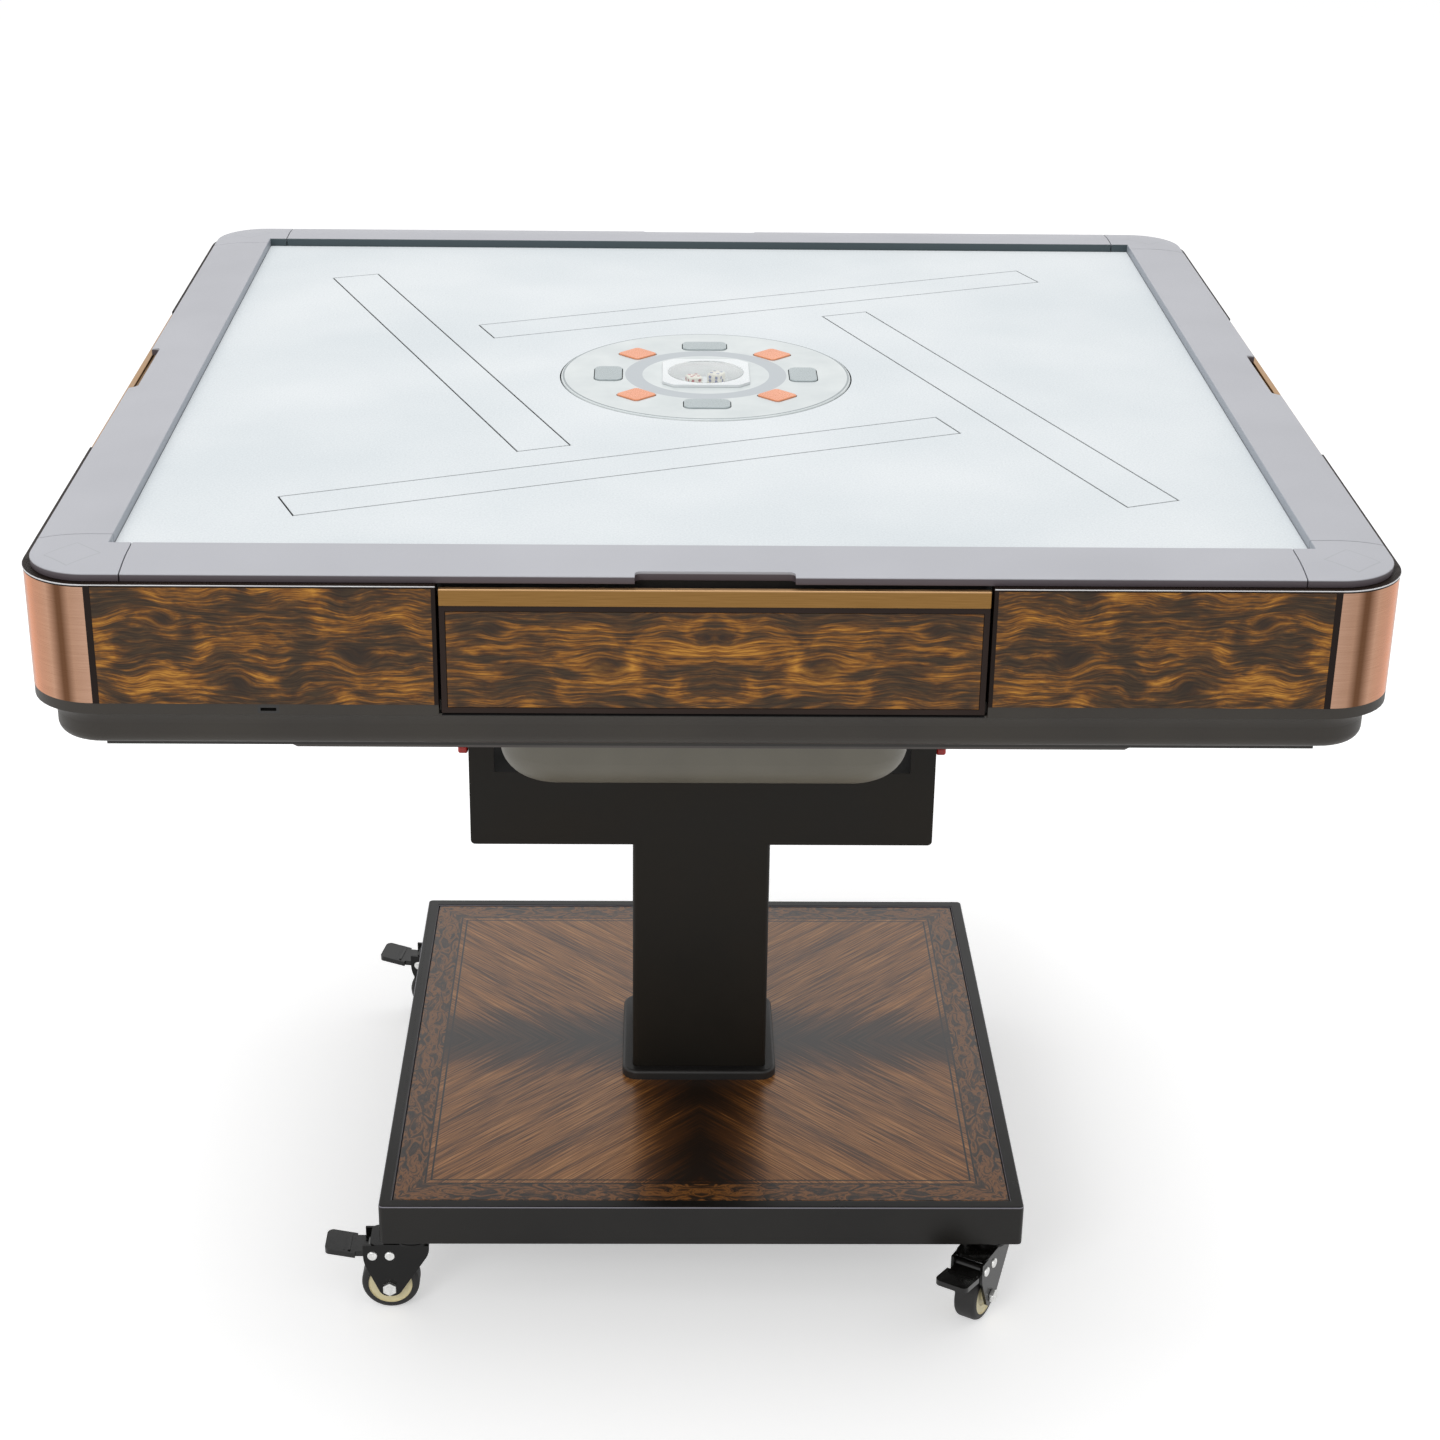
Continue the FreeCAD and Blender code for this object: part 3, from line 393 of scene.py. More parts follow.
def bar(name, radius, start, length, axis="z", sides=96):
    """A round bar from its start point along an axis, ready to be shaped."""
    rest()
    turns = {"x": (0, math.pi / 2, 0), "y": (-math.pi / 2, 0, 0), "z": (0, 0, 0)}
    way = {"x": Vector((1, 0, 0)), "y": Vector((0, 1, 0)), "z": Vector((0, 0, 1))}[axis]
    middle = (Vector(start) + way * length / 2) * MM
    bpy.ops.mesh.primitive_cylinder_add(vertices=sides, radius=radius * MM, depth=length * MM,
                                        location=middle, rotation=turns[axis])
    return named(name)


def pin(name, radius, x, z, half, sides):
    """A round bar across a caster, evenly about its middle."""
    return bar(name, radius, (x, -half, z), 2 * half, "y", sides)


def pick(piece, kind, wanted):
    """In edit mode, selects the faces or edges whose middle and direction pass a test."""
    take(piece)
    bpy.ops.object.mode_set(mode="EDIT")
    bpy.ops.mesh.select_mode(type=kind)
    bpy.ops.mesh.select_all(action="DESELECT")
    bpy.ops.object.mode_set(mode="OBJECT")
    mesh = piece.data
    if kind == "FACE":
        for face in mesh.polygons:
            face.select = wanted(face.center / MM, face.normal)
    else:
        for edge in mesh.edges:
            start = mesh.vertices[edge.vertices[0]].co / MM
            end = mesh.vertices[edge.vertices[1]].co / MM
            edge.select = wanted((start + end) / 2, (end - start).normalized())
    bpy.ops.object.mode_set(mode="EDIT")


def soften(piece, radius, steps, wanted):
    """Rounds the edges that pass a test."""
    pick(piece, "EDGE", wanted)
    bpy.ops.mesh.bevel(offset=radius * MM, segments=steps, affect="EDGES")
    rest()


def upright(at, way):
    """A test for edges that stand up."""
    return abs(way.z) > 0.9


def topmost(level):
    """A test for edges that lie at a top level."""
    return lambda at, way: at.z > level - hair


def outer_corner(reach):
    """A test for the upright edge at the front left corner, as far out as the reach."""
    return lambda at, way: upright(at, way) and max(at.x, at.y) < hair - reach


def apply(piece, kind, **settings):
    """Adds a modifier with its settings and applies it."""
    change = piece.modifiers.new(kind.lower(), kind)
    for key, value in settings.items():
        setattr(change, key, value)
    take(piece)
    bpy.ops.object.modifier_apply(modifier=change.name)


def cut(piece, *cutters):
    """Cuts the cutters' shapes out of a piece and clears them away."""
    for cutter in cutters:
        apply(piece, "BOOLEAN", object=cutter, operation="DIFFERENCE", solver="EXACT")
        bpy.data.objects.remove(cutter)


def weld(piece, *others):
    """Unites other shapes with a piece and clears them away."""
    for other in others:
        apply(piece, "BOOLEAN", object=other, operation="UNION", solver="EXACT")
        bpy.data.objects.remove(other)


def join(piece, *others):
    """Joins separate shapes into one object, each left as it is."""
    take(piece)
    for other in others:
        other.select_set(True)
    bpy.ops.object.join()
    return bpy.context.object


def break_edges(piece, width, steps=2, sharper_than=sharp_angle):
    """Takes the sharpness off every edge sharper than an angle."""
    apply(piece, "BEVEL", width=width * MM, segments=steps, limit_method="ANGLE",
          angle_limit=math.radians(sharper_than), use_clamp_overlap=True)


def slice_off(piece, point, away):
    """Cuts off what lies beyond a plane and closes the cut."""
    take(piece)
    bpy.ops.object.mode_set(mode="EDIT")
    bpy.ops.mesh.select_all(action="SELECT")
    bpy.ops.mesh.bisect(plane_co=Vector(point) * MM, plane_no=Vector(away).normalized(),
                        clear_outer=True, use_fill=True)
    rest()


def twin(piece, name, turn=0, move=(0, 0, 0), swing=0):
    """A copy with its own mesh, turned, then moved, then swung about the table's middle."""
    copy = piece.copy()
    copy.data = piece.data.copy()
    copy.name = name
    copy.data.name = name
    bpy.context.scene.collection.objects.link(copy)
    copy.rotation_euler = (0, 0, math.radians(turn))
    copy.location = Vector(move) * MM
    settle(copy)
    copy.rotation_euler = (0, 0, math.radians(swing))
    settle(copy)
    return copy


def round_table(piece, stem, names):
    """The piece and its copies at each quarter turn about the table's middle, by name."""
    made = {names[0]: piece}
    for number, name in enumerate(names[1:], 1):
        made[name] = twin(piece, stem + name, 90 * number)
    return made


def fit(piece, body, slot, finish, nodes=()):
    """Shades a finished piece, dresses it and puts it on its body in place of its nodes."""
    take(piece)
    bpy.ops.object.shade_smooth_by_angle(angle=math.radians(sharp_angle))
    apply(piece, "WEIGHTED_NORMAL", keep_sharp=True)
    if finish:
        piece.data.materials.clear()
        piece.data.materials.append(finish)
    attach(piece, body)
    if nodes:
        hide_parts(*nodes)


def fit_round(piece, stem, names, *dress):
    """Fits a piece and its copies round the table, all dressed alike."""
    for made in round_table(piece, stem, names).values():
        fit(made, *dress)


def lay_veneer(piece):
    """A map for the veneer in metres, across the front and up it, which its copies keep."""
    layer = piece.data.uv_layers.new(name="veneer")
    for loop in piece.data.loops:
        place = piece.data.vertices[loop.vertex_index].co
        layer.data[loop.index].uv = (place.x, place.z)


# Steps of a finish
def linear(code):
    """The linear colour of an sRGB hex code."""
    shares = [int(code[at:at + 2], 16) / 255 for at in (0, 2, 4)]
    return [s / 12.92 if s <= 0.04045 else ((s + 0.055) / 1.055) ** 2.4 for s in shares] + [1.0]


def per(size):
    """The scale at which a pattern's features come out at a size in millimetres."""
    return 1 / (size * MM)


def add(finish, kind, sockets=None, stops=None, **settings):
    """Adds a node with its settings. A socket takes a number, a colour, another node's output, or a
    node, whose first output in use is linked."""
    tree = finish.node_tree
    node = tree.nodes.new("ShaderNode" + kind)
    for key, value in settings.items():
        setattr(node, key, value)
    for key, value in (sockets or {}).items():
        if isinstance(value, bpy.types.Node):
            value = next(output for output in value.outputs if output.enabled)
        if isinstance(value, bpy.types.NodeSocket):
            tree.links.new(value, node.inputs[key])
        else:
            node.inputs[key].default_value = value
    if stops:
        elements = node.color_ramp.elements
        while len(elements) < len(stops):
            elements.new(0.5)
        for element, (place, code) in zip(elements, stops):
            element.position = place
            element.color = linear(code)
    return node


def new_finish(name):
    """An empty finish, ready for its nodes."""
    finish = bpy.data.materials.new(name)
    finish.use_nodes = True
    finish.node_tree.nodes.clear()
    return finish


def reaches(finish, place):
    """How far a place lies from the table's middle along x and along y."""
    axes = add(finish, "SeparateXYZ", {0: place})
    return [add(finish, "Math", {0: axes.outputs[axis]}, operation="ABSOLUTE") for axis in "XY"]


def drawn_out(finish, along, along_share, across):
    """A flat place for a pattern that is stretched along one way."""
    slow = add(finish, "Math", {0: along, 1: along_share}, operation="MULTIPLY")
    return add(finish, "CombineXYZ", {"X": slow, "Y": across})


# Finishes
def moulded(name, code, shade, rough, grain=0.9, depth=0.05, spec=0.5):
    """Moulded plastic or rubber: an etched mould leaves a fine leathery grain, drawn coarse enough to
    show, and the colour drifts a little where the melt met."""
    melt_size = 70.0
    finish = new_finish(name)
    place = add(finish, "TexCoord").outputs["Object"]
    etch = add(finish, "TexNoise", {"Vector": place, "Scale": per(grain), "Detail": 3.0})
    drift = add(finish, "TexNoise", {"Vector": place, "Scale": per(melt_size), "Detail": 2.0})
    tone = add(finish, "ValToRGB", {0: drift}, stops=[(0.3, shade), (0.7, code)])
    gloss = add(finish, "MapRange", {0: etch, 1: 0.3, 2: 0.7, 3: rough - 0.06, 4: rough + 0.06})
    relief = add(finish, "Bump", {"Height": etch, "Strength": 0.35, "Distance": depth * MM})
    shader = add(finish, "BsdfPrincipled", {"Base Color": tone, "Roughness": gloss, "Normal": relief,
                                            "Specular IOR Level": spec})
    add(finish, "OutputMaterial", {"Surface": shader})
    return finish


def coated_steel(name, code, shade, rough, peel=2.2, spec=0.4, highlight_z=None):
    """Powder-coated steel: the baked powder flows into a soft orange peel with a dull gloss. A painted
    highlight line can be laid along an edge at the height given."""
    dust_size = 0.7
    smear_size = 90.0
    coat_depth = 0.08
    highlight_half = 0.45
    finish = new_finish(name)
    place = add(finish, "TexCoord").outputs["Object"]
    waves = add(finish, "TexNoise", {"Vector": place, "Scale": per(peel), "Detail": 1.0})
    dust = add(finish, "TexNoise", {"Vector": place, "Scale": per(dust_size), "Detail": 2.0})
    smear = add(finish, "TexNoise", {"Vector": place, "Scale": per(smear_size), "Detail": 4.0})
    colour = add(finish, "ValToRGB", {0: smear}, stops=[(0.35, shade), (0.65, code)])
    # Painted highlight: a lighter line along the edge at the height given
    if highlight_z:
        height = add(finish, "SeparateXYZ", {0: place}).outputs["Z"]
        edge = add(finish, "Math", {0: height, 1: highlight_z * MM, 2: highlight_half * MM}, operation="COMPARE")
        colour = add(finish, "Mix", {0: edge, 6: colour, 7: linear("85838C")}, data_type="RGBA")
    gloss = add(finish, "MapRange", {0: smear, 1: 0.3, 2: 0.7, 3: rough - 0.05, 4: rough + 0.07})
    skin = add(finish, "Math", {0: waves, 1: dust}, operation="ADD")
    relief = add(finish, "Bump", {"Height": skin, "Strength": 0.22, "Distance": coat_depth * MM})
    shader = add(finish, "BsdfPrincipled", {"Base Color": colour, "Roughness": gloss, "Normal": relief,
                                            "Specular IOR Level": spec})
    add(finish, "OutputMaterial", {"Surface": shader})
    return finish


def plated_metal(name, code, shade, rough, spangle=3.0):
    """Zinc-plated steel: a grey gloss, clouded by the crystals of the plating and by handling."""
    scratch_size = 0.6
    scratch_depth = 0.05
    finish = new_finish(name)
    place = add(finish, "TexCoord").outputs["Object"]
    crystal = add(finish, "TexNoise", {"Vector": place, "Scale": per(spangle), "Detail": 4.0})
    scratch = add(finish, "TexNoise", {"Vector": place, "Scale": per(scratch_size), "Detail": 2.0})
    tone = add(finish, "ValToRGB", {0: crystal}, stops=[(0.35, shade), (0.65, code)])
    gloss = add(finish, "MapRange", {0: crystal, 1: 0.3, 2: 0.7, 3: rough - 0.08, 4: rough + 0.1})
    relief = add(finish, "Bump", {"Height": scratch, "Strength": 0.12, "Distance": scratch_depth * MM})
    shader = add(finish, "BsdfPrincipled", {"Base Color": tone, "Roughness": gloss, "Normal": relief,
                                            "Metallic": 0.9})
    add(finish, "OutputMaterial", {"Surface": shader})
    return finish


def rim_finish():
    """Moulded rim in two tones, satin silver grey on top and dark on its outer walls, where the light top is
    partly paint and partly a painted sheen of the overhead light; painted shade on the inner walls, darker
    on the front and back walls than on the sides; and a thin engraved lozenge in the middle of each corner
    cap."""
    etch_size = 0.9
    drift_size = 120.0
    etch_depth = 0.06
    paint_and_sheen_start = 0.9
    paint_and_sheen_full = 0.3
    wall_skin = 0.5
    finish = new_finish("satin_grey_moulded_rim")
    place = add(finish, "TexCoord").outputs["Object"]
    height = add(finish, "SeparateXYZ", {0: place}).outputs["Z"]
    reach_x, reach_y = reaches(finish, place)
    etch = add(finish, "TexNoise", {"Vector": place, "Scale": per(etch_size), "Detail": 3.0})
    drift = add(finish, "TexNoise", {"Vector": place, "Scale": per(drift_size), "Detail": 2.0})
    top = add(finish, "ValToRGB", {0: drift}, stops=[(0.3, "A7A8AE"), (0.7, "AEAFB5")])
    # Two tones by height: the light top is partly paint and partly a painted sheen of the overhead light,
    # and the walls below keep the dark body colour
    edge = add(finish, "MapRange", {0: height, 1: (rim_edge_z - paint_and_sheen_start) * MM,
                                    2: (rim_edge_z - paint_and_sheen_full) * MM})
    skin = add(finish, "Mix", {0: edge, 6: linear("50474C"), 7: top}, data_type="RGBA")
    reach = add(finish, "Math", {0: reach_x, 1: reach_y}, operation="MAXIMUM")
    inside = add(finish, "Math", {0: reach, 1: (rim_inner + wall_skin) * MM}, operation="LESS_THAN")
    # Painted shade on the inner walls: the front and back walls are dark and the side walls lighter, by the
    # way each wall faces
    lighter_side_walls = add(finish, "Math", {0: reach_x, 1: reach_y}, operation="GREATER_THAN")
    wall = add(finish, "Mix", {0: lighter_side_walls, 6: linear("3A474C"), 7: linear("999EA6")}, data_type="RGBA")
    tone = add(finish, "Mix", {0: inside, 6: skin, 7: wall}, data_type="RGBA")
    off_x = add(finish, "Math", {0: reach_x, 1: lozenge_centre * MM}, operation="SUBTRACT")
    off_y = add(finish, "Math", {0: reach_y, 1: lozenge_centre * MM}, operation="SUBTRACT")
    far_x = add(finish, "Math", {0: off_x}, operation="ABSOLUTE")
    far_y = add(finish, "Math", {0: off_y}, operation="ABSOLUTE")
    far = add(finish, "Math", {0: far_x, 1: far_y}, operation="ADD")
    line = add(finish, "Math", {0: far, 1: lozenge_reach * MM, 2: lozenge_line * MM}, operation="COMPARE")
    faint = add(finish, "Math", {0: line, 1: 0.35}, operation="MULTIPLY")
    marked = add(finish, "Mix", {0: faint, 6: tone, 7: linear("8C8F92")}, data_type="RGBA")
    gloss = add(finish, "MapRange", {0: etch, 1: 0.3, 2: 0.7, 3: 0.38, 4: 0.5})
    sunk = add(finish, "Math", {0: line, 1: -1.0, 2: etch}, operation="MULTIPLY_ADD")
    relief = add(finish, "Bump", {"Height": sunk, "Strength": 0.3, "Distance": etch_depth * MM})
    shader = add(finish, "BsdfPrincipled", {"Base Color": marked, "Roughness": gloss, "Normal": relief})
    add(finish, "OutputMaterial", {"Surface": shader})
    return finish


def felt_finish():
    """Needled polyester felt: matt and nearly white, with a fibre mottle that is drawn coarser than
    real fibres, so that it shows."""
    fibre_size = 1.6
    tuft_size = 6.0
    cloud_size = 160.0
    nap_depth = 0.25
    finish = new_finish("white_needled_felt")
    place = add(finish, "TexCoord").outputs["Object"]
    fibre = add(finish, "TexNoise", {"Vector": place, "Scale": per(fibre_size), "Detail": 5.0,
                                     "Roughness": 0.7})
    tuft = add(finish, "TexNoise", {"Vector": place, "Scale": per(tuft_size), "Detail": 3.0})
    cloud = add(finish, "TexNoise", {"Vector": place, "Scale": per(cloud_size), "Detail": 2.0})
    tone = add(finish, "ValToRGB", {0: fibre}, stops=[(0.3, "D3D8DB"), (0.7, "E6EAEC")])
    shade = add(finish, "ValToRGB", {0: cloud}, stops=[(0.3, "F4F6F7"), (0.7, "FFFFFF")])
    cloth = add(finish, "Mix", {0: 1.0, 6: tone, 7: shade}, data_type="RGBA", blend_type="MULTIPLY")
    nap = add(finish, "Math", {0: fibre, 1: tuft}, operation="ADD")
    relief = add(finish, "Bump", {"Height": nap, "Strength": 0.5, "Distance": nap_depth * MM})
    shader = add(finish, "BsdfPrincipled", {"Base Color": cloth, "Roughness": 0.95, "Normal": relief,
                                            "Sheen Weight": 0.15, "Specular IOR Level": 0.2})
    add(finish, "OutputMaterial", {"Surface": shader})
    return finish


def flame_finish(name, knots, sway_height, stretch_share):
    """Flamed veneer under satin lacquer, book-matched about the middle of each side: dark brown with
    golden flames that run along it and swirl round knots, each given by its place and size."""
    sway_size = 46.0
    flame_size = 3.6
    patch_size = 26.0
    pore_size = 1.0
    pore_depth = 0.08
    finish = new_finish(name)
    sheet = add(finish, "UVMap", uv_map="veneer")
    axes = add(finish, "SeparateXYZ", {0: sheet})
    along = add(finish, "Math", {0: axes.outputs["X"]}, operation="ABSOLUTE")
    up = axes.outputs["Y"]
    lift = 0.0
    heart = 0.0
    for knot_x, knot_z, knot_size in knots:
        off_x = add(finish, "Math", {0: along, 1: knot_x * MM}, operation="SUBTRACT")
        off_z = add(finish, "Math", {0: up, 1: knot_z * MM}, operation="SUBTRACT")
        square_x = add(finish, "Math", {0: off_x, 1: off_x}, operation="MULTIPLY")
        wide_z = add(finish, "Math", {0: off_z, 1: 1.7}, operation="MULTIPLY")
        square = add(finish, "Math", {0: wide_z, 1: wide_z, 2: square_x}, operation="MULTIPLY_ADD")
        spread = add(finish, "Math", {0: square, 1: -per(knot_size) ** 2}, operation="MULTIPLY")
        near = add(finish, "Math", {0: spread}, operation="EXPONENT")
        push = add(finish, "Math", {0: off_z, 1: near}, operation="MULTIPLY")
        lift = add(finish, "Math", {0: lift, 1: push}, operation="ADD")
        heart = add(finish, "Math", {0: heart, 1: near}, operation="ADD")
    bent = add(finish, "Math", {0: lift, 1: -0.85, 2: up}, operation="MULTIPLY_ADD")
    flat = add(finish, "CombineXYZ", {"X": along, "Y": bent})
    sway = add(finish, "TexNoise", {"Vector": flat, "Scale": per(sway_size), "Detail": 1.5,
                                    "Roughness": 0.45}, noise_dimensions="2D")
    shift = add(finish, "MapRange", {0: sway, 1: 0.2, 2: 0.8, 3: -sway_height * MM, 4: sway_height * MM})
    waved = add(finish, "Math", {0: bent, 1: shift}, operation="ADD")
    grain = drawn_out(finish, along, stretch_share, waved)
    flame = add(finish, "TexNoise", {"Vector": grain, "Scale": per(flame_size), "Detail": 6.0,
                                     "Roughness": 0.66, "Distortion": 0.25}, noise_dimensions="2D")
    broad = drawn_out(finish, along, 0.6, waved)
    patch = add(finish, "TexNoise", {"Vector": broad, "Scale": per(patch_size), "Detail": 3.0,
                                     "Distortion": 0.6}, noise_dimensions="2D")
    tuned = add(finish, "Math", {0: patch, 1: 0.8, 2: flame}, operation="MULTIPLY_ADD")
    level = add(finish, "MapRange", {0: tuned, 1: 0.55, 2: 1.25})
    thin = drawn_out(finish, along, 0.06, waved)
    pore = add(finish, "TexNoise", {"Vector": thin, "Scale": per(pore_size), "Detail": 2.0},
               noise_dimensions="2D")
    figure = add(finish, "ValToRGB", {0: level},
                 stops=[(0.28, "3C2B17"), (0.5, "5E3E1B"), (0.7, "99631F"), (0.92, "C68A32")])
    fine = add(finish, "ValToRGB", {0: pore}, stops=[(0.35, "A08E7C"), (0.6, "FFFFFF")])
    wood = add(finish, "Mix", {0: 0.8, 6: figure, 7: fine}, data_type="RGBA", blend_type="MULTIPLY")
    dusk = add(finish, "MapRange", {0: heart, 1: 0.55, 2: 1.0, 3: 0.0, 4: 0.75})
    knotted = add(finish, "Mix", {0: dusk, 6: wood, 7: linear("22160C")}, data_type="RGBA")
    gloss = add(finish, "MapRange", {0: pore, 1: 0.3, 2: 0.7, 3: 0.4, 4: 0.32})
    relief = add(finish, "Bump", {"Height": pore, "Strength": 0.12, "Distance": pore_depth * MM})
    shader = add(finish, "BsdfPrincipled", {"Base Color": knotted, "Roughness": gloss, "Normal": relief,
                                            "Coat Weight": 0.08, "Coat Roughness": 0.15,
                                            "Specular IOR Level": 0.22})
    add(finish, "OutputMaterial", {"Surface": shader})
    return finish


def base_veneer_finish():
    """Veneer of the base panel: four quarter-matched sheets whose straight grain runs to the middle,
    dark where they meet, two dark stringing lines and a burl border, all under gloss lacquer."""
    fine_size = 1.9
    broad_size = 24.0
    burl_size = 9.0
    meeting_dark = 4.0
    meeting_light = 62.0
    pore_depth = 0.06
    line_at = base_panel_half - inlay_border
    finish = new_finish("gloss_lacquered_matched_veneer")
    reach_x, reach_y = reaches(finish, add(finish, "TexCoord").outputs["Object"])
    edge = add(finish, "Math", {0: reach_x, 1: reach_y}, operation="MAXIMUM")
    seam = add(finish, "Math", {0: reach_x, 1: reach_y}, operation="MINIMUM")
    across = add(finish, "Math", {0: reach_x, 1: reach_y}, operation="SUBTRACT")
    along = add(finish, "Math", {0: reach_x, 1: reach_y}, operation="ADD")
    slow = add(finish, "Math", {0: along, 1: 0.02}, operation="MULTIPLY")
    slower = add(finish, "Math", {0: along, 1: 0.06}, operation="MULTIPLY")
    fine_at = add(finish, "CombineXYZ", {"X": across, "Y": slow})
    broad_at = add(finish, "CombineXYZ", {"X": across, "Y": slower})
    fine = add(finish, "TexNoise", {"Vector": fine_at, "Scale": per(fine_size), "Detail": 4.0,
                                    "Roughness": 0.65}, noise_dimensions="2D")
    broad = add(finish, "TexNoise", {"Vector": broad_at, "Scale": per(broad_size), "Detail": 3.0},
                noise_dimensions="2D")
    heart = add(finish, "MapRange", {0: seam, 1: meeting_dark * MM, 2: meeting_light * MM, 3: -0.42, 4: 0.0})
    blend = add(finish, "Math", {0: broad, 1: 0.4, 2: heart}, operation="MULTIPLY_ADD")
    ready = add(finish, "Math", {0: fine, 1: blend}, operation="ADD")
    level = add(finish, "MapRange", {0: ready, 1: 0.22, 2: 1.04})
    stripe = add(finish, "ValToRGB", {0: level},
                 stops=[(0.1, "21150C"), (0.42, "5A3618"), (0.68, "AE7238"), (0.95, "DEA262")])
    burl_at = drawn_out(finish, seam, 0.45, edge)
    swirl = add(finish, "TexNoise", {"Vector": burl_at, "Scale": per(burl_size), "Detail": 5.0,
                                     "Roughness": 0.65, "Distortion": 1.6}, noise_dimensions="2D")
    burl = add(finish, "ValToRGB", {0: swirl},
               stops=[(0.38, "24180E"), (0.48, "52351B"), (0.57, "9C642F"), (0.68, "463019")])
    border = add(finish, "Math", {0: edge, 1: line_at * MM}, operation="GREATER_THAN")
    field = add(finish, "Mix", {0: border, 6: stripe, 7: burl}, data_type="RGBA")
    strings = [add(finish, "Math", {0: edge, 1: at * MM, 2: inlay_line / 2 * MM}, operation="COMPARE")
               for at in (line_at, line_at - inlay_line_pitch)]
    lines = add(finish, "Math", {0: strings[0], 1: strings[1]}, operation="MAXIMUM")
    drawn = add(finish, "Mix", {0: lines, 6: field, 7: linear("1B120C")}, data_type="RGBA")
    gloss = add(finish, "MapRange", {0: fine, 1: 0.3, 2: 0.7, 3: 0.4, 4: 0.3})
    relief = add(finish, "Bump", {"Height": fine, "Strength": 0.06, "Distance": pore_depth * MM})
    shader = add(finish, "BsdfPrincipled", {"Base Color": drawn, "Roughness": gloss, "Normal": relief,
                                            "Coat Weight": 0.25, "Coat Roughness": 0.25})
    add(finish, "OutputMaterial", {"Surface": shader})
    return finish


def bronze_finish(name, code, shade, rough, reflection_bands=None, top_highlight_z=None):
    """Bronze-anodised aluminium, brushed level: its shine is drawn out into short strokes, coarser than real
    ones, so that they show. It can carry painted reflection bands round a corner, or a painted highlight
    above a height."""
    stroke_length = 30.0
    stroke_width = 0.5
    stroke_depth = 0.05
    finish = new_finish(name)
    place = add(finish, "TexCoord").outputs["Object"]
    stroke_at = add(finish, "Mapping", {"Vector": place, "Scale": (per(stroke_length), per(stroke_length),
                                                                   per(stroke_width))})
    stroke = add(finish, "TexNoise", {"Vector": stroke_at, "Scale": 1.0, "Detail": 3.0})
    colour = add(finish, "ValToRGB", {0: stroke}, stops=[(0.3, shade), (0.7, code)])
    # Painted reflection: light and dark bands round the corner post, as the bronze would mirror them
    if reflection_bands:
        reach_x, reach_y = reaches(finish, place)
        off_x = add(finish, "Math", {0: reach_x, 1: corner_centre * MM}, operation="SUBTRACT")
        off_y = add(finish, "Math", {0: reach_y, 1: corner_centre * MM}, operation="SUBTRACT")
        angle = add(finish, "Math", {0: off_y, 1: off_x}, operation="ARCTAN2")
        round_share = add(finish, "MapRange", {0: angle, 1: 0.0, 2: math.pi / 2})
        painted_reflection = add(finish, "ValToRGB", {0: round_share}, stops=reflection_bands)
        colour = add(finish, "Mix", {0: 1.0, 6: colour, 7: painted_reflection}, data_type="RGBA", blend_type="MULTIPLY")
    # Painted highlight: lighter colour above the height given, along the pull's top edge
    if top_highlight_z:
        height = add(finish, "SeparateXYZ", {0: place}).outputs["Z"]
        high = add(finish, "Math", {0: height, 1: top_highlight_z * MM}, operation="GREATER_THAN")
        colour = add(finish, "Mix", {0: high, 6: colour, 7: linear("B08D66")}, data_type="RGBA")
    gloss = add(finish, "MapRange", {0: stroke, 1: 0.3, 2: 0.7, 3: rough - 0.07, 4: rough + 0.07})
    relief = add(finish, "Bump", {"Height": stroke, "Strength": 0.15, "Distance": stroke_depth * MM})
    shader = add(finish, "BsdfPrincipled", {"Base Color": colour, "Roughness": gloss, "Normal": relief,
                                            "Metallic": 1.0})
    add(finish, "OutputMaterial", {"Surface": shader})
    return finish


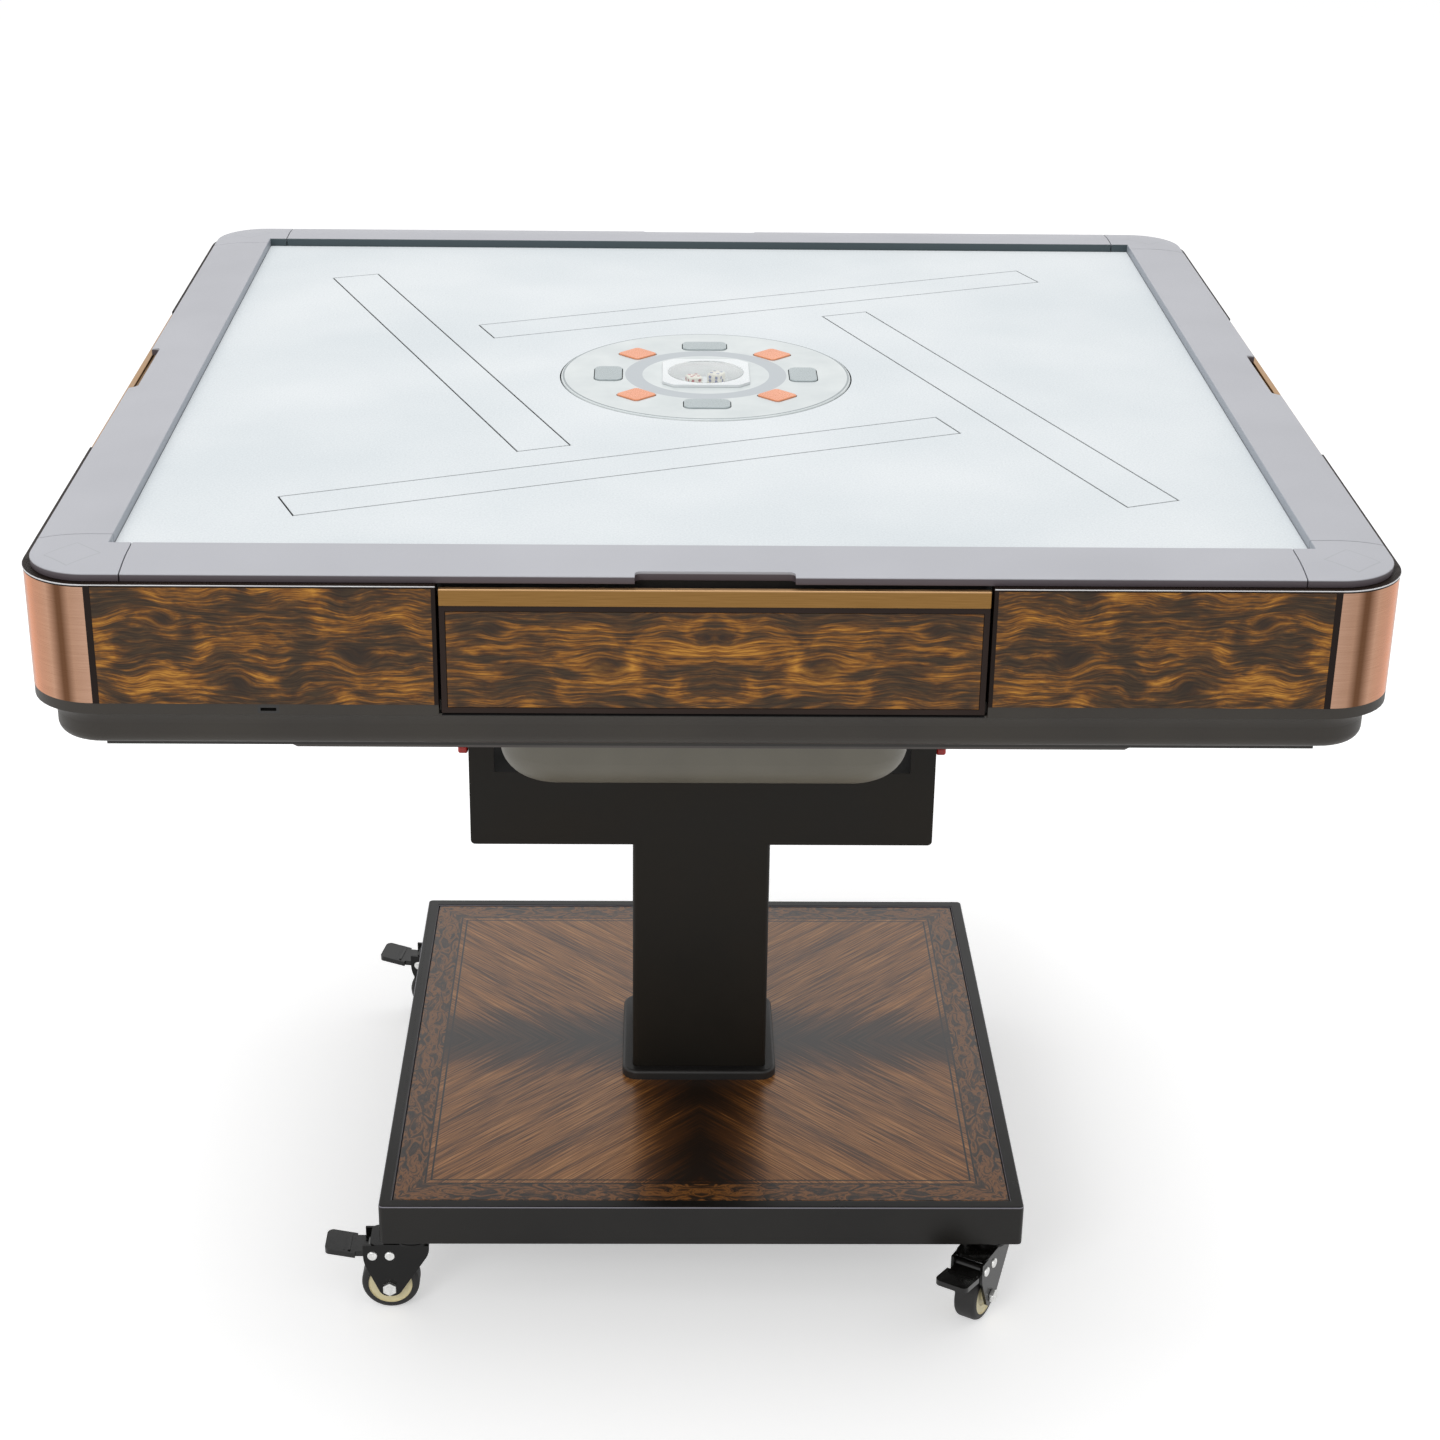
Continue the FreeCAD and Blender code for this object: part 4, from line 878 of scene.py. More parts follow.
def dial_finish():
    """Polished pale acrylic: a faint haze, a smoked ring moulded in, a grey lip, painted shade in the
    pockets under the buttons, and a white bowl for the dice, painted brighter against the shade in the well."""
    haze_size = 30.0
    polish_size = 1.2
    polish_depth = 0.04
    finish = new_finish("polished_pale_acrylic")
    place = add(finish, "TexCoord").outputs["Object"]
    axes = add(finish, "SeparateXYZ", {0: place})
    flat = add(finish, "CombineXYZ", {"X": axes.outputs["X"], "Y": axes.outputs["Y"]})
    reach = add(finish, "VectorMath", {0: flat}, operation="LENGTH")
    haze = add(finish, "TexNoise", {"Vector": place, "Scale": per(haze_size), "Detail": 3.0})
    tone = add(finish, "ValToRGB", {0: haze}, stops=[(0.3, "C6CDCE"), (0.7, "D2D8D8")])
    ring = add(finish, "Math", {0: reach, 1: smoked_ring * MM, 2: smoked_ring_width / 2 * MM},
               operation="COMPARE")
    lip = add(finish, "Math", {0: reach, 1: (dial_radius - dial_lip) * MM, 2: dial_lip_half * MM},
              operation="COMPARE")
    # Painted shade: the pockets under the buttons are darkened below the dial's top
    deep = add(finish, "Math", {0: axes.outputs["Z"], 1: (dial_z - pocket_shade) * MM},
               operation="LESS_THAN")
    within = add(finish, "Math", {0: reach, 1: button_orbit * MM, 2: pocket_reach * MM},
                 operation="COMPARE")
    pocket = add(finish, "Math", {0: deep, 1: within}, operation="MULTIPLY")
    # The bowl is white and painted brighter still, against the shade in the well under the dome
    bowl = add(finish, "Math", {0: reach, 1: (well_radius + well_lip) * MM}, operation="LESS_THAN")
    for mask, code in ((ring, "AEB5BA"), (lip, "8E979A"), (pocket, "3E4648"), (bowl, "F4F6F7")):
        tone = add(finish, "Mix", {0: mask, 6: tone, 7: linear(code)}, data_type="RGBA")
    swirl = add(finish, "TexNoise", {"Vector": place, "Scale": per(polish_size), "Detail": 2.0})
    gloss = add(finish, "MapRange", {0: swirl, 1: 0.3, 2: 0.7, 3: 0.12, 4: 0.2})
    relief = add(finish, "Bump", {"Height": swirl, "Strength": 0.05, "Distance": polish_depth * MM})
    shader = add(finish, "BsdfPrincipled", {"Base Color": tone, "Roughness": gloss, "Normal": relief,
                                            "IOR": 1.49})
    add(finish, "OutputMaterial", {"Surface": shader})
    return finish


def clear_finish():
    """Clear polycarbonate: glassy, with faint hairlines from wiping."""
    wipe_size = 2.0
    wipe_depth = 0.02
    finish = new_finish("clear_polycarbonate")
    place = add(finish, "TexCoord").outputs["Object"]
    wiped = add(finish, "TexNoise", {"Vector": place, "Scale": per(wipe_size), "Detail": 3.0})
    gloss = add(finish, "MapRange", {0: wiped, 1: 0.3, 2: 0.7, 3: 0.02, 4: 0.06})
    relief = add(finish, "Bump", {"Height": wiped, "Strength": 0.03, "Distance": wipe_depth * MM})
    shader = add(finish, "BsdfPrincipled", {"Base Color": linear("FAFCFC"), "Roughness": gloss,
                                            "Normal": relief, "IOR": 1.3, "Transmission Weight": 0.95})
    add(finish, "OutputMaterial", {"Surface": shader})
    return finish


# Veneers: each knot's place along the side, height and size, and the sway and stretch of the grain
panel_knots = ((246.0, 712.0, 22.0), (378.0, 738.0, 15.0), (330.0, 690.0, 18.0))
panel_sway = 6.0
panel_stretch_share = 0.12
drawer_knots = ((75.0, 704.0, 24.0), (150.0, 732.0, 13.0), (5.0, 726.0, 16.0))
drawer_sway = 3.6
drawer_stretch_share = 0.08

# Painted reflection round a corner post: colours from its one side to the other that stand in for the light
# and dark it mirrors
post_reflection_bands = [(0.0, "8A5A3C"), (0.2, "A8683A"), (0.33, "DE8A50"), (0.47, "C48E70"), (0.63, "C09A84"),
              (0.74, "6C4E3A"), (0.78, "6C4E3A"), (0.86, "AE8D79"), (1.0, "B89886")]

rim_grey = rim_finish()
felt = felt_finish()
flame_panel = flame_finish("satin_lacquered_flame_veneer", panel_knots, panel_sway, panel_stretch_share)
flame_drawer = flame_finish("satin_lacquered_drawer_veneer", drawer_knots, drawer_sway, drawer_stretch_share)
base_veneer = base_veneer_finish()
bronze = bronze_finish("brushed_bronze_aluminium", "F4ECE4", "DDD2C8", 0.3, reflection_bands=post_reflection_bands)
# The pull's top edge carries a painted highlight
pull_bronze = bronze_finish("brushed_brown_aluminium", "8B693D", "775830", 0.4,
                            top_highlight_z=panel_top_z - pull_highlight_depth)
dial_acrylic = dial_finish()
clear = clear_finish()

# Grain and depth of the moulds that differ from the plain ones
fine_etch = {"grain": 0.6, "depth": 0.02}
smooth_etch = {"grain": 0.6, "depth": 0.01}
glossy_etch = {"grain": 1.5, "depth": 0.02}
tyre_etch = {"grain": 0.8, "depth": 0.08}
tub_grain = 1.2
dark_abs = moulded("dark_brown_moulded_abs", "302B24", "29241E", 0.5, spec=0.4)
black_abs = moulded("black_moulded_abs", "1F1D1B", "181716", 0.48)
frame_abs = moulded("dark_stained_drawer_frame", "2B1F1A", "241914", 0.45, spec=0.15)
strip_abs = moulded("near_black_moulded_strip", "231914", "1C130F", 0.45, spec=0.12)
trim_grey = moulded("pale_grey_edge_band", "E2E2E4", "D4D4D6", 0.35)
tub_pp = moulded("olive_grey_moulded_polypropylene", "747064", "69655A", 0.5, grain=tub_grain)
turntable_pp = moulded("grey_moulded_polypropylene", "8A8D8C", "7E8180", 0.5)
box_abs = moulded("charcoal_moulded_drawer_box", "35322F", "2C2A28", 0.5)
button_grey = moulded("grey_moulded_button", "A9B3B5", "A0AAAC", 0.3, **fine_etch)
button_orange = moulded("orange_moulded_button", "E79A72", "DE8E66", 0.28, **fine_etch)
ivory = moulded("ivory_urea_dice", "F2EDE0", "EAE4D5", 0.25, **smooth_etch)
pip_red = moulded("red_pip_lacquer", "A8231E", "981D19", 0.3, **smooth_etch)
pip_blue = moulded("blue_pip_lacquer", "1F3E86", "1A3676", 0.3, **smooth_etch)
frame_white = moulded("white_moulded_dome_frame", "E3E7E8", "DADEE0", 0.25, **fine_etch)
pedal_gloss = moulded("gloss_black_moulded_pedal", "12110F", "0D0C0B", 0.2, spec=0.45, **glossy_etch)
tyre_rubber = moulded("black_moulded_tyre", "242322", "1B1A1A", 0.62, **tyre_etch)
core_nylon = moulded("cream_moulded_nylon", "F6EBC4", "EBDFB4", 0.42)
red_grip = moulded("red_moulded_pvc_grip", "C2261E", "AF1F18", 0.35)
bumper_rubber = moulded("black_rubber_bumper", "201F1E", "191818", 0.7)

# Peel of the casters' enamel and spangle of the lifts' plates
enamel_peel = 3.5
lift_spangle = 8.0
black_steel = coated_steel("black_powder_coated_steel", "1E1A14", "17140F", 0.5, spec=0.2)
# The pan carries a painted highlight line along the top of its border
pan_steel = coated_steel("black_satin_coated_pan", "1C1A17", "161412", 0.32, spec=0.3,
                         highlight_z=base_top_z - base_highlight_line)
cover_steel = coated_steel("grey_powder_coated_cover", "57524F", "4C4845", 0.55)
chassis_steel = coated_steel("dark_primed_chassis_tube", "34322F", "2A2826", 0.6)
fork_gloss = coated_steel("gloss_black_stove_enamel", "0F0E0C", "0A0908", 0.14, peel=enamel_peel,
                          spec=0.28)
zinc = plated_metal("bright_zinc_plate", "F0F0EE", "D8D8D6", 0.26)
lift_zinc = plated_metal("galvanised_lift_plate", "B8B9B7", "9C9D9B", 0.4, spangle=lift_spangle)


# Rim: one ring, flat beside the field and falling outward, parted into four rails and four caps
ring = slab("rim_ring", rim_half, rim_z, rim_edge_z)
soften(ring, rim_corner, 16, upright)
pick(ring, "FACE", lambda at, normal: normal.z > 0.9)
slope_width = rim_half - rim_inner - rim_flat
for start_share, end_share in zip(rim_slope_shares, rim_slope_shares[1:]):
    rise = rim_fall * ((1 - start_share) ** 2 - (1 - end_share) ** 2)
    bpy.ops.mesh.inset(thickness=slope_width * (end_share - start_share) * MM, depth=rise * MM)
rest()
well = slab("well", rim_inner, rim_z - overrun, rim_top_z + overrun)
rebate = slab("rebate", board_half, rim_z - overrun, felt_z)
soften(rebate, board_half - corner_centre, 10, upright)
notch = block("notch", about(notch_half), (-rim_half - overrun, -rim_half + notch_depth),
              (rim_z - overrun, rim_top_z + overrun))
soften(notch, notch_round, 5, lambda at, way: upright(at, way) and at.y > -rim_half)
cut(ring, well, rebate, *round_table(notch, "notch_", SIDES).values())
soften(ring, rim_bevel, 3, lambda at, way: at.z > rim_top_z - hair
       and max(abs(at.x), abs(at.y)) < rim_inner + hair)

rail = twin(ring, "rim_rail_front")
slice_off(rail, (cap_line - cap_seam, 0, 0), (1, 0, 0))
slice_off(rail, (-cap_line + cap_seam, 0, 0), (-1, 0, 0))
slice_off(rail, (0, -cap_line, 0), (0, 1, 0))
break_edges(rail, rail_edge)
fit_round(rail, "rim_rail_", SIDES, "table_top", "rim_grey", rim_grey, ["rim_rails"])

cap = twin(ring, "rim_cap_front_left")
slice_off(cap, (-cap_line - cap_seam, 0, 0), (1, 0, 0))
slice_off(cap, (0, -cap_line - cap_seam, 0), (0, 1, 0))
break_edges(cap, rail_edge)
fit_round(cap, "rim_cap_", CORNERS, "table_top", "rim_grey", rim_grey, ["rim_corner_caps"])
bpy.data.objects.remove(ring)


# Field: one felt sheet with openings for the dial and the four lifts, and a strip on each lift
def at_lift(piece, number):
    """A copy of a strip made at the middle of the table, at a lift's place."""
    turn = math.radians(lift_angle)
    x = lift_shift * math.cos(turn) + lift_distance * math.sin(turn)
    y = lift_shift * math.sin(turn) - lift_distance * math.cos(turn)
    return twin(piece, piece.name + "_" + SIDES[number], lift_angle, (x, y, 0), 90 * number)


field_half = rim_inner - felt_edge_gap
slot_half = lift_width / 2 + lift_slot_gap
slot_end = lift_length / 2 + lift_slot_gap
field = slab("felt_field", field_half, felt_z, felt_z + felt_thickness)
cut(field, bar("dial_opening", dial_hole, (0, 0, felt_z - overrun), 2 * overrun, sides=160))
slot = block("lift_opening", about(slot_end), about(slot_half), (felt_z - overrun, felt_z + overrun))
cut(field, *[at_lift(slot, number) for number in range(4)])
bpy.data.objects.remove(slot)
fit(field, "table_top", "felt_board", felt)

strip = block("lift_felt", about(lift_length / 2), about(lift_width / 2),
              (lift_top_z, lift_top_z + felt_thickness))
for number, side in enumerate(SIDES):
    made = at_lift(strip, number)
    fit(made, "lift_" + side, "felt_board", felt)
bpy.data.objects.remove(strip)

# Apron: wood panels, the pale trim line above them and the bronze corner posts
for hand, word in ((-1, "left_of_"), (1, "right_of_")):
    inner_x = hand * (opening_half + strip_width - panel_lap)
    outer_x = hand * (corner_centre - strip_width)
    panel = block("wood_panel_" + word + "front", (inner_x, outer_x),
                  (-face_half - panel_proud, -face_half + panel_thickness), (panel_z, panel_top_z))
    break_edges(panel, panel_edge)
    lay_veneer(panel)
    fit_round(panel, "wood_panel_" + word, SIDES, "table_top", "apron_veneer", flame_panel, ["wood_panels"])
    bead = block("trim_line_" + word + "front", (hand * opening_half, hand * corner_centre),
                 (-trim_face, -trim_face + trim_depth), (rim_z - trim_height, rim_z))
    soften(bead, trim_round, 3, lambda at, way: abs(way.x) > 0.9 and at.y < -trim_face + hair)
    fit_round(bead, "trim_line_" + word, SIDES, "table_top", "rim_grey", trim_grey)


def corner_wall(name, face, wall, low_z, high_z):
    """A wall that runs round the front left corner, with its face that far from the middle."""
    piece = block(name, (-face, -corner_centre), (-face, -corner_centre), (low_z, high_z))
    soften(piece, face - corner_centre - corner_spare, 20, outer_corner(face))
    inner = face - wall
    core = block("corner_core", (-inner, 0), (-inner, 0), (low_z - overrun, high_z + overrun))
    soften(core, inner - corner_centre, 20, outer_corner(inner))
    cut(piece, core)
    return piece


post = corner_wall("corner_post_front_left", face_half, post_wall, panel_z, panel_top_z)
break_edges(post, post_edge)
fit_round(post, "corner_post_", CORNERS, "table_top", "bronze_metal", bronze, ["corner_posts"])
corner_bead = corner_wall("trim_corner_front_left", trim_face, trim_depth, rim_z - trim_height, rim_z)
break_edges(corner_bead, trim_corner_edge)
fit_round(corner_bead, "trim_corner_", CORNERS, "table_top", "rim_grey", trim_grey)

# Drawer fronts: a dark frame, a veneered panel let into it and a bronze pull along the top
front_low_z = sill_z + seat_gap
pull_z = panel_top_z - pull_height
inlay_half = drawer_half - drawer_edge
inlay_low_z = front_low_z + drawer_edge
inlay_high_z = pull_z - drawer_edge
surround = block("drawer_frame_front", about(drawer_half), (-face_half, -drawer_back), (front_low_z, pull_z))
cut(surround, block("inlay", about(inlay_half), (-face_half - overrun, -face_half + inlay_depth),
                    (inlay_low_z, inlay_high_z)))
break_edges(surround, drawer_frame_round)
leaf = block("drawer_panel_front", about(inlay_half - leaf_gap),
             (-face_half + leaf_sunk, -face_half + inlay_depth),
             (inlay_low_z + leaf_gap, inlay_high_z - leaf_gap))
break_edges(leaf, leaf_edge)
lay_veneer(leaf)
pull = block("drawer_pull_front", about(drawer_half), (-face_half - pull_proud, -drawer_back),
             (pull_z, panel_top_z))
cut(pull, block("step", about(drawer_half + overrun),
                (-drawer_back - pull_step_depth, -drawer_back + overrun),
                (panel_top_z - pull_step_height, panel_top_z + overrun)))
break_edges(pull, pull_edge, 3)
surrounds = round_table(surround, "drawer_frame_", SIDES)
leaves = round_table(leaf, "drawer_panel_", SIDES)
pulls = round_table(pull, "drawer_pull_", SIDES)
for side in SIDES:
    body = "drawer_" + side
    fit(surrounds[side], body, "dark_plastic", frame_abs, ["drawer_front_" + side])
    fit(leaves[side], body, "apron_veneer", flame_drawer)
    fit(pulls[side], body, "bronze_metal", pull_bronze)

# A thin black seat under each drawer, whose black stands in for the shade in the gap below the drawer
shade_seat = block("drawer_seat_front", about(drawer_half), (-face_half + seat_sunk, -face_half + seat_depth),
             (sill_z - seat_thickness, sill_z))
break_edges(shade_seat, seat_edge)
fit_round(shade_seat, "drawer_seat_", SIDES, "table_top", "black_plastic", bumper_rubber)

# Base: a steel pan with a raised border, its wood panel, the column and the collar round its foot
pan = slab("base_pan", base_half, base_z, base_top_z)
soften(pan, base_round, 5, upright)
cut(pan, slab("recess", base_half - base_border, recess_floor_z, base_top_z + overrun))
soften(pan, base_lip_round, 4, topmost(base_top_z))
soften(pan, base_foot_round, 2, lambda at, way: at.z < base_z + hair)
fit(pan, "pedestal", "black_steel", pan_steel, ["base_frame"])

foot = slab("base_panel_veneered", base_panel_half, recess_floor_z, base_panel_top_z)
hole = slab("column_hole", column_half + column_gap, recess_floor_z - overrun, base_panel_top_z + overrun)
soften(hole, column_round, 4, upright)
cut(foot, hole)
break_edges(foot, base_panel_edge)
fit(foot, "pedestal", "base_veneer", base_veneer, ["base_panel"])

column = slab("column_post", column_half, column_low.z, column_high.z)
soften(column, column_round, 6, upright)
fit(column, "pedestal", "black_steel", black_steel, ["column_tube"])

collar = slab("column_foot_collar", collar_half, base_panel_top_z, collar_top_z)
soften(collar, collar_round, 8, upright)
soften(collar, collar_top_round, 4, topmost(collar_top_z))
hole = slab("collar_hole", column_half + collar_gap, base_panel_top_z - overrun, collar_top_z + overrun)
soften(hole, column_round, 6, upright)
cut(collar, hole)
fit(collar, "pedestal", "black_plastic", black_abs, ["column_collar"])

# Yoke: a crossbar with two bent plate arms that carry the hinge at the back
arm_back = pivot_back + boss_radius
plate_half = yoke_half - arm_thickness
past_sides = about(yoke_half + overrun)
past_back = arm_back + overrun
past_top = arm_top_z + overrun
yoke = block("yoke_crossbar", about(yoke_half), (-yoke_front, arm_back), (yoke_low.z, arm_top_z))
soften(yoke, yoke_round, 5, lambda at, way: abs(way.y) > 0.9 and at.z < yoke_low.z + hair)
between = block("between", about(yoke_half - flange_width), (-yoke_front - overrun, past_back),
                (crossbar_top_z, past_top))
behind = block("behind", about(plate_half), (-yoke_front + flange_thickness, past_back),
               (crossbar_top_z, past_top))
below = block("below", past_sides, (yoke_front, past_back), (yoke_low.z - overrun, crossbar_top_z))
slant = block("slant", past_sides, (yoke_front, past_back), (crossbar_top_z, pivot_z))
slice_off(slant, (0, yoke_front, crossbar_top_z), (0, crossbar_top_z - pivot_z, arm_back - yoke_front))
crest = block("crest", past_sides, (arm_back - crest_run, past_back), (pivot_z, past_top))
slice_off(crest, (0, arm_back, pivot_z), (0, -1, -1))
cut(yoke, between, behind, below, slant, crest)
for boss_x in (-yoke_half, yoke_half - boss_depth):
    weld(yoke, bar("boss", boss_radius, (boss_x, pivot_back, pivot_z), boss_depth, "x", 64))
for boss_x in (-yoke_half, yoke_half - boss_depth):
    cut(yoke, bar("pin_hole", pin_hole_radius, (boss_x - overrun, pivot_back, pivot_z),
                  boss_depth + 2 * overrun, "x", 48))
break_edges(yoke, yoke_edge)
fit(yoke, "pedestal", "black_steel", black_steel, ["yoke"])
for hand, word in ((-1, "left"), (1, "right")):
    pad = block("arm_bumper_" + word, (hand * plate_half, hand * yoke_half),
                (-yoke_front, -yoke_front + bumper_length), (arm_top_z, bumper_top_z))
    break_edges(pad, bumper_edge, 3)
    fit(pad, "pedestal", "black_plastic", bumper_rubber)

# Lock: a cross shaft with a red-gripped lever at each end
lever_end_x = lever_x + lever_thickness
shaft = bar("lock_shaft", lock_radius, (-lever_end_x, lock_back, lock_z), 2 * lever_end_x, "x", 32)
for hand in (-1, 1):
    lever = block("lever", (hand * lever_x, hand * lever_end_x),
                  (lock_back - lever_half, lock_back + lever_half), (lever_low_z, lock_z + lever_rise))
    soften(lever, lever_round, 5, lambda at, way: abs(way.x) > 0.9 and at.z > lock_z)
    weld(shaft, lever)
break_edges(shaft, lever_edge)
fit(shaft, "fold_lock", "zinc_steel", zinc, ["fold_lock_levers"])
for hand, word in ((-1, "left"), (1, "right")):
    grip = block("lock_grip_" + word, (hand * grip_x, hand * grip_end_x),
                 (lock_back - grip_half, lock_back + grip_half), (grip_low_z, grip_high_z))
    break_edges(grip, grip_edge, 4)
    fit(grip, "fold_lock", "red_grip", red_grip)


# Dial: an acrylic plate with eight buttons round a dome over two dice
def button_shape(number, grow, low_z, high_z):
    """A rounded rectangle for the four sides of the dial, and a rounded square for between them."""
    if number % 2 == 0:
        shape = block("button", about(button_length / 2 + grow), about(button_width / 2 + grow),
                      (low_z, high_z))
        soften(shape, button_round + grow, 6, upright)
    else:
        shape = slab("button", diamond_side / 2 + grow, low_z, high_z)
        soften(shape, diamond_round + grow, 6, upright)
    return shape


def at_button(shape, name, number):
    """Brings a shape made at the middle of the dial to a button's place."""
    made = twin(shape, name, 0, (0, -button_orbit, 0), 45 * number)
    bpy.data.objects.remove(shape)
    return made


dial = bar("dial_disc", dial_radius, (0, 0, dial_low.z), dial_z - dial_low.z, sides=160)
soften(dial, dial_round, 4, topmost(dial_z))
cutters = [bar("well", well_radius, (0, 0, dial_z - well_depth), well_depth + overrun)]
for number in range(8):
    pocket = button_shape(number, button_gap, dial_z - pocket_depth, dial_z + overrun)
    cutters.append(at_button(pocket, "pocket", number))
cut(dial, *cutters)
fit(dial, "center_dial", "dial_plastic", dial_acrylic, ["dial_plate"])

button_kinds = (("rise_button_", "grey_button", button_grey),
                ("dice_button_", "orange_button", button_orange))
for number in range(8):
    stem, slot_name, finish = button_kinds[number % 2]
    name = stem + SIDES[number // 2]
    button = button_shape(number, 0, button_low_z, button_top_z)
    soften(button, button_edge, 4, topmost(button_top_z))
    fit(at_button(button, name + "_cap", number), name, slot_name, finish, [name])

surround = slab("dome_frame", dome_frame_half, dial_z, dome_frame_top_z)
soften(surround, dome_frame_chamfer, 1, upright)
cut(surround, bar("window", dome_radius, (0, 0, dial_z - overrun), dome_frame_height + 2 * overrun))
break_edges(surround, dome_frame_edge, 3, sharper_than=60)
fit(surround, "center_dial", "clear_plastic", frame_white, ["dice_dome"])

rest()
bpy.ops.mesh.primitive_circle_add(vertices=96, radius=(dome_radius - dome_gap) * MM, fill_type="NGON",
                                  location=(0, 0, dome_frame_top_z * MM))
dome = named("dice_dome_window")
ball = (dome_radius ** 2 + dome_height ** 2) / (2 * dome_height)
ring_radii = [dome_radius * share for share in dome_ring_shares]
for outer, inner in zip(ring_radii, ring_radii[1:]):
    rise = math.sqrt(ball ** 2 - inner ** 2) - math.sqrt(ball ** 2 - outer ** 2)
    pick(dome, "FACE", lambda at, normal: at.xy.length < hair)
    bpy.ops.mesh.inset(thickness=(outer - inner) * MM, depth=0)
    bpy.ops.transform.translate(value=(0, 0, rise * MM))
    rest()
apply(dome, "SOLIDIFY", thickness=dome_wall * MM, offset=-1)
fit(dome, "center_dial", "clear_plastic", clear)

pip_layouts = {1: [(0, 0)], 2: [(-1, -1), (1, 1)], 3: [(-1, -1), (0, 0), (1, 1)],
               4: [(-1, -1), (-1, 1), (1, -1), (1, 1)],
               5: [(-1, -1), (-1, 1), (1, -1), (1, 1), (0, 0)],
               6: [(-1, -1), (-1, 0), (-1, 1), (1, -1), (1, 0), (1, 1)]}


def make_die(name, faces, place, turn, ink):
    """A die with rounded edges and its pips; faces gives the number on +x, +y, +z, -x, -y and -z."""
    die = slab(name, die_half, -die_half, die_half)
    break_edges(die, die_round, 4)
    die.data.materials.append(ivory)
    die.data.materials.append(ink)
    ways = [Vector((1, 0, 0)), Vector((0, 1, 0)), Vector((0, 0, 1)),
            Vector((-1, 0, 0)), Vector((0, -1, 0)), Vector((0, 0, -1))]
    pips = []
    for way, number in zip(ways, faces):
        across = Vector((way.y, way.z, way.x))
        down = way.cross(across)
        for row, rank in pip_layouts[number]:
            spot = way * die_half + (across * row + down * rank) * pip_pitch
            rest()
            bpy.ops.mesh.primitive_uv_sphere_add(segments=12, ring_count=6, radius=pip_radius * MM)
            pip = bpy.context.object
            pip.scale = [pip_flat_share if abs(part) > 0.5 else 1.0 for part in way]
            pip.location = spot * MM
            named("pip")
            pip.data.materials.append(ink)
            pips.append(pip)
    die = join(die, *pips)
    made = twin(die, name + "_ivory", turn, (*place, dice_z + die_half))
    bpy.data.objects.remove(die)
    fit(made, "center_dial", "ivory_plastic", None, ["dice"])


make_die("die_left", (2, 3, 5, 5, 4, 2), die_left_place, 20, pip_red)
make_die("die_right", (3, 1, 4, 4, 6, 3), die_right_place, -28, pip_blue)


# Casters: pressed housing, bolts, tyre on a nylon core and a brake pedal
def caster_housing():
    """A round head with a groove, a crown plate under it and two tapering legs."""
    head_z = fork_plate_top_z - fork_head_sunk
    housing = bar("housing", fork_head_radius, (0, 0, head_z), fork_head_top_z - head_z, sides=64)
    soften(housing, fork_head_round, 4, topmost(fork_head_top_z))
    groove_z = fork_plate_top_z + fork_groove_rise
    groove = bar("groove", fork_head_radius + overrun, (0, 0, groove_z), fork_groove_width, sides=64)
    cut(groove, bar("groove_core", fork_head_radius - fork_groove_depth, (0, 0, groove_z - overrun),
                    2 * overrun, sides=64))
    cut(housing, groove)
    crown = block("crown", (-fork_back, crown_front), about(fork_leg_out), (fork_plate_z, fork_plate_top_z))
    soften(crown, crown_round, 5, upright)
    weld(housing, crown)
    for hand in (-1, 1):
        leg = block("leg", (-fork_back, leg_front), (hand * fork_leg_in, hand * fork_leg_out),
                    (leg_low_z, fork_plate_top_z - leg_sunk))
        slice_off(leg, (-fork_back, 0, leg_back_z), (leg_low_z - leg_back_z, 0, -fork_back - leg_foot_back))
        slice_off(leg, (leg_front, 0, leg_front_z), (leg_front_z - leg_low_z, 0, leg_foot_front - leg_front))
        soften(leg, leg_round, 5, lambda at, way: abs(way.y) > 0.9 and at.z < leg_back_z)
        cut(leg, pin("axle_hole", axle_hole, caster_trail, wheel_radius, bore_half, 32))
        weld(housing, leg)
    cut(housing, bar("king_hole", king_hole, (0, 0, fork_plate_z - overrun),
                     fork_head_top_z - fork_plate_z + 2 * overrun, sides=32))
    break_edges(housing, fork_edge, 3)
    return housing


def caster_bolts():
    """The axle with a nut at each end, two round-headed rivets on each leg and the pedal's pin."""
    bolts = pin("axle", axle_radius, caster_trail, wheel_radius, axle_half, 24)
    rivet_in = fork_leg_out - rivet_sunk
    rivet_out = rivet_in + rivet_height
    for nut_y, rivet_y in ((-fork_leg_out - nut_thickness, -rivet_out), (fork_leg_out, rivet_in)):
        nut = bar("nut", nut_radius, (caster_trail, nut_y, wheel_radius), nut_thickness, "y", 6)
        break_edges(nut, nut_edge)
        rivets = [bar("rivet", rivet_radius, (x, rivet_y, pedal_z), rivet_height, "y", 24)
                  for x in (pedal_x, pedal_x - rivet_pitch)]
        for rivet in rivets:
            soften(rivet, rivet_round, 3, lambda at, way: abs(at.y) > rivet_out - hair)
        bolts = join(bolts, nut, *rivets)
    return join(bolts, pin("pedal_pin", pedal_pin_radius, pedal_x, pedal_z, pedal_pin_half, 20))


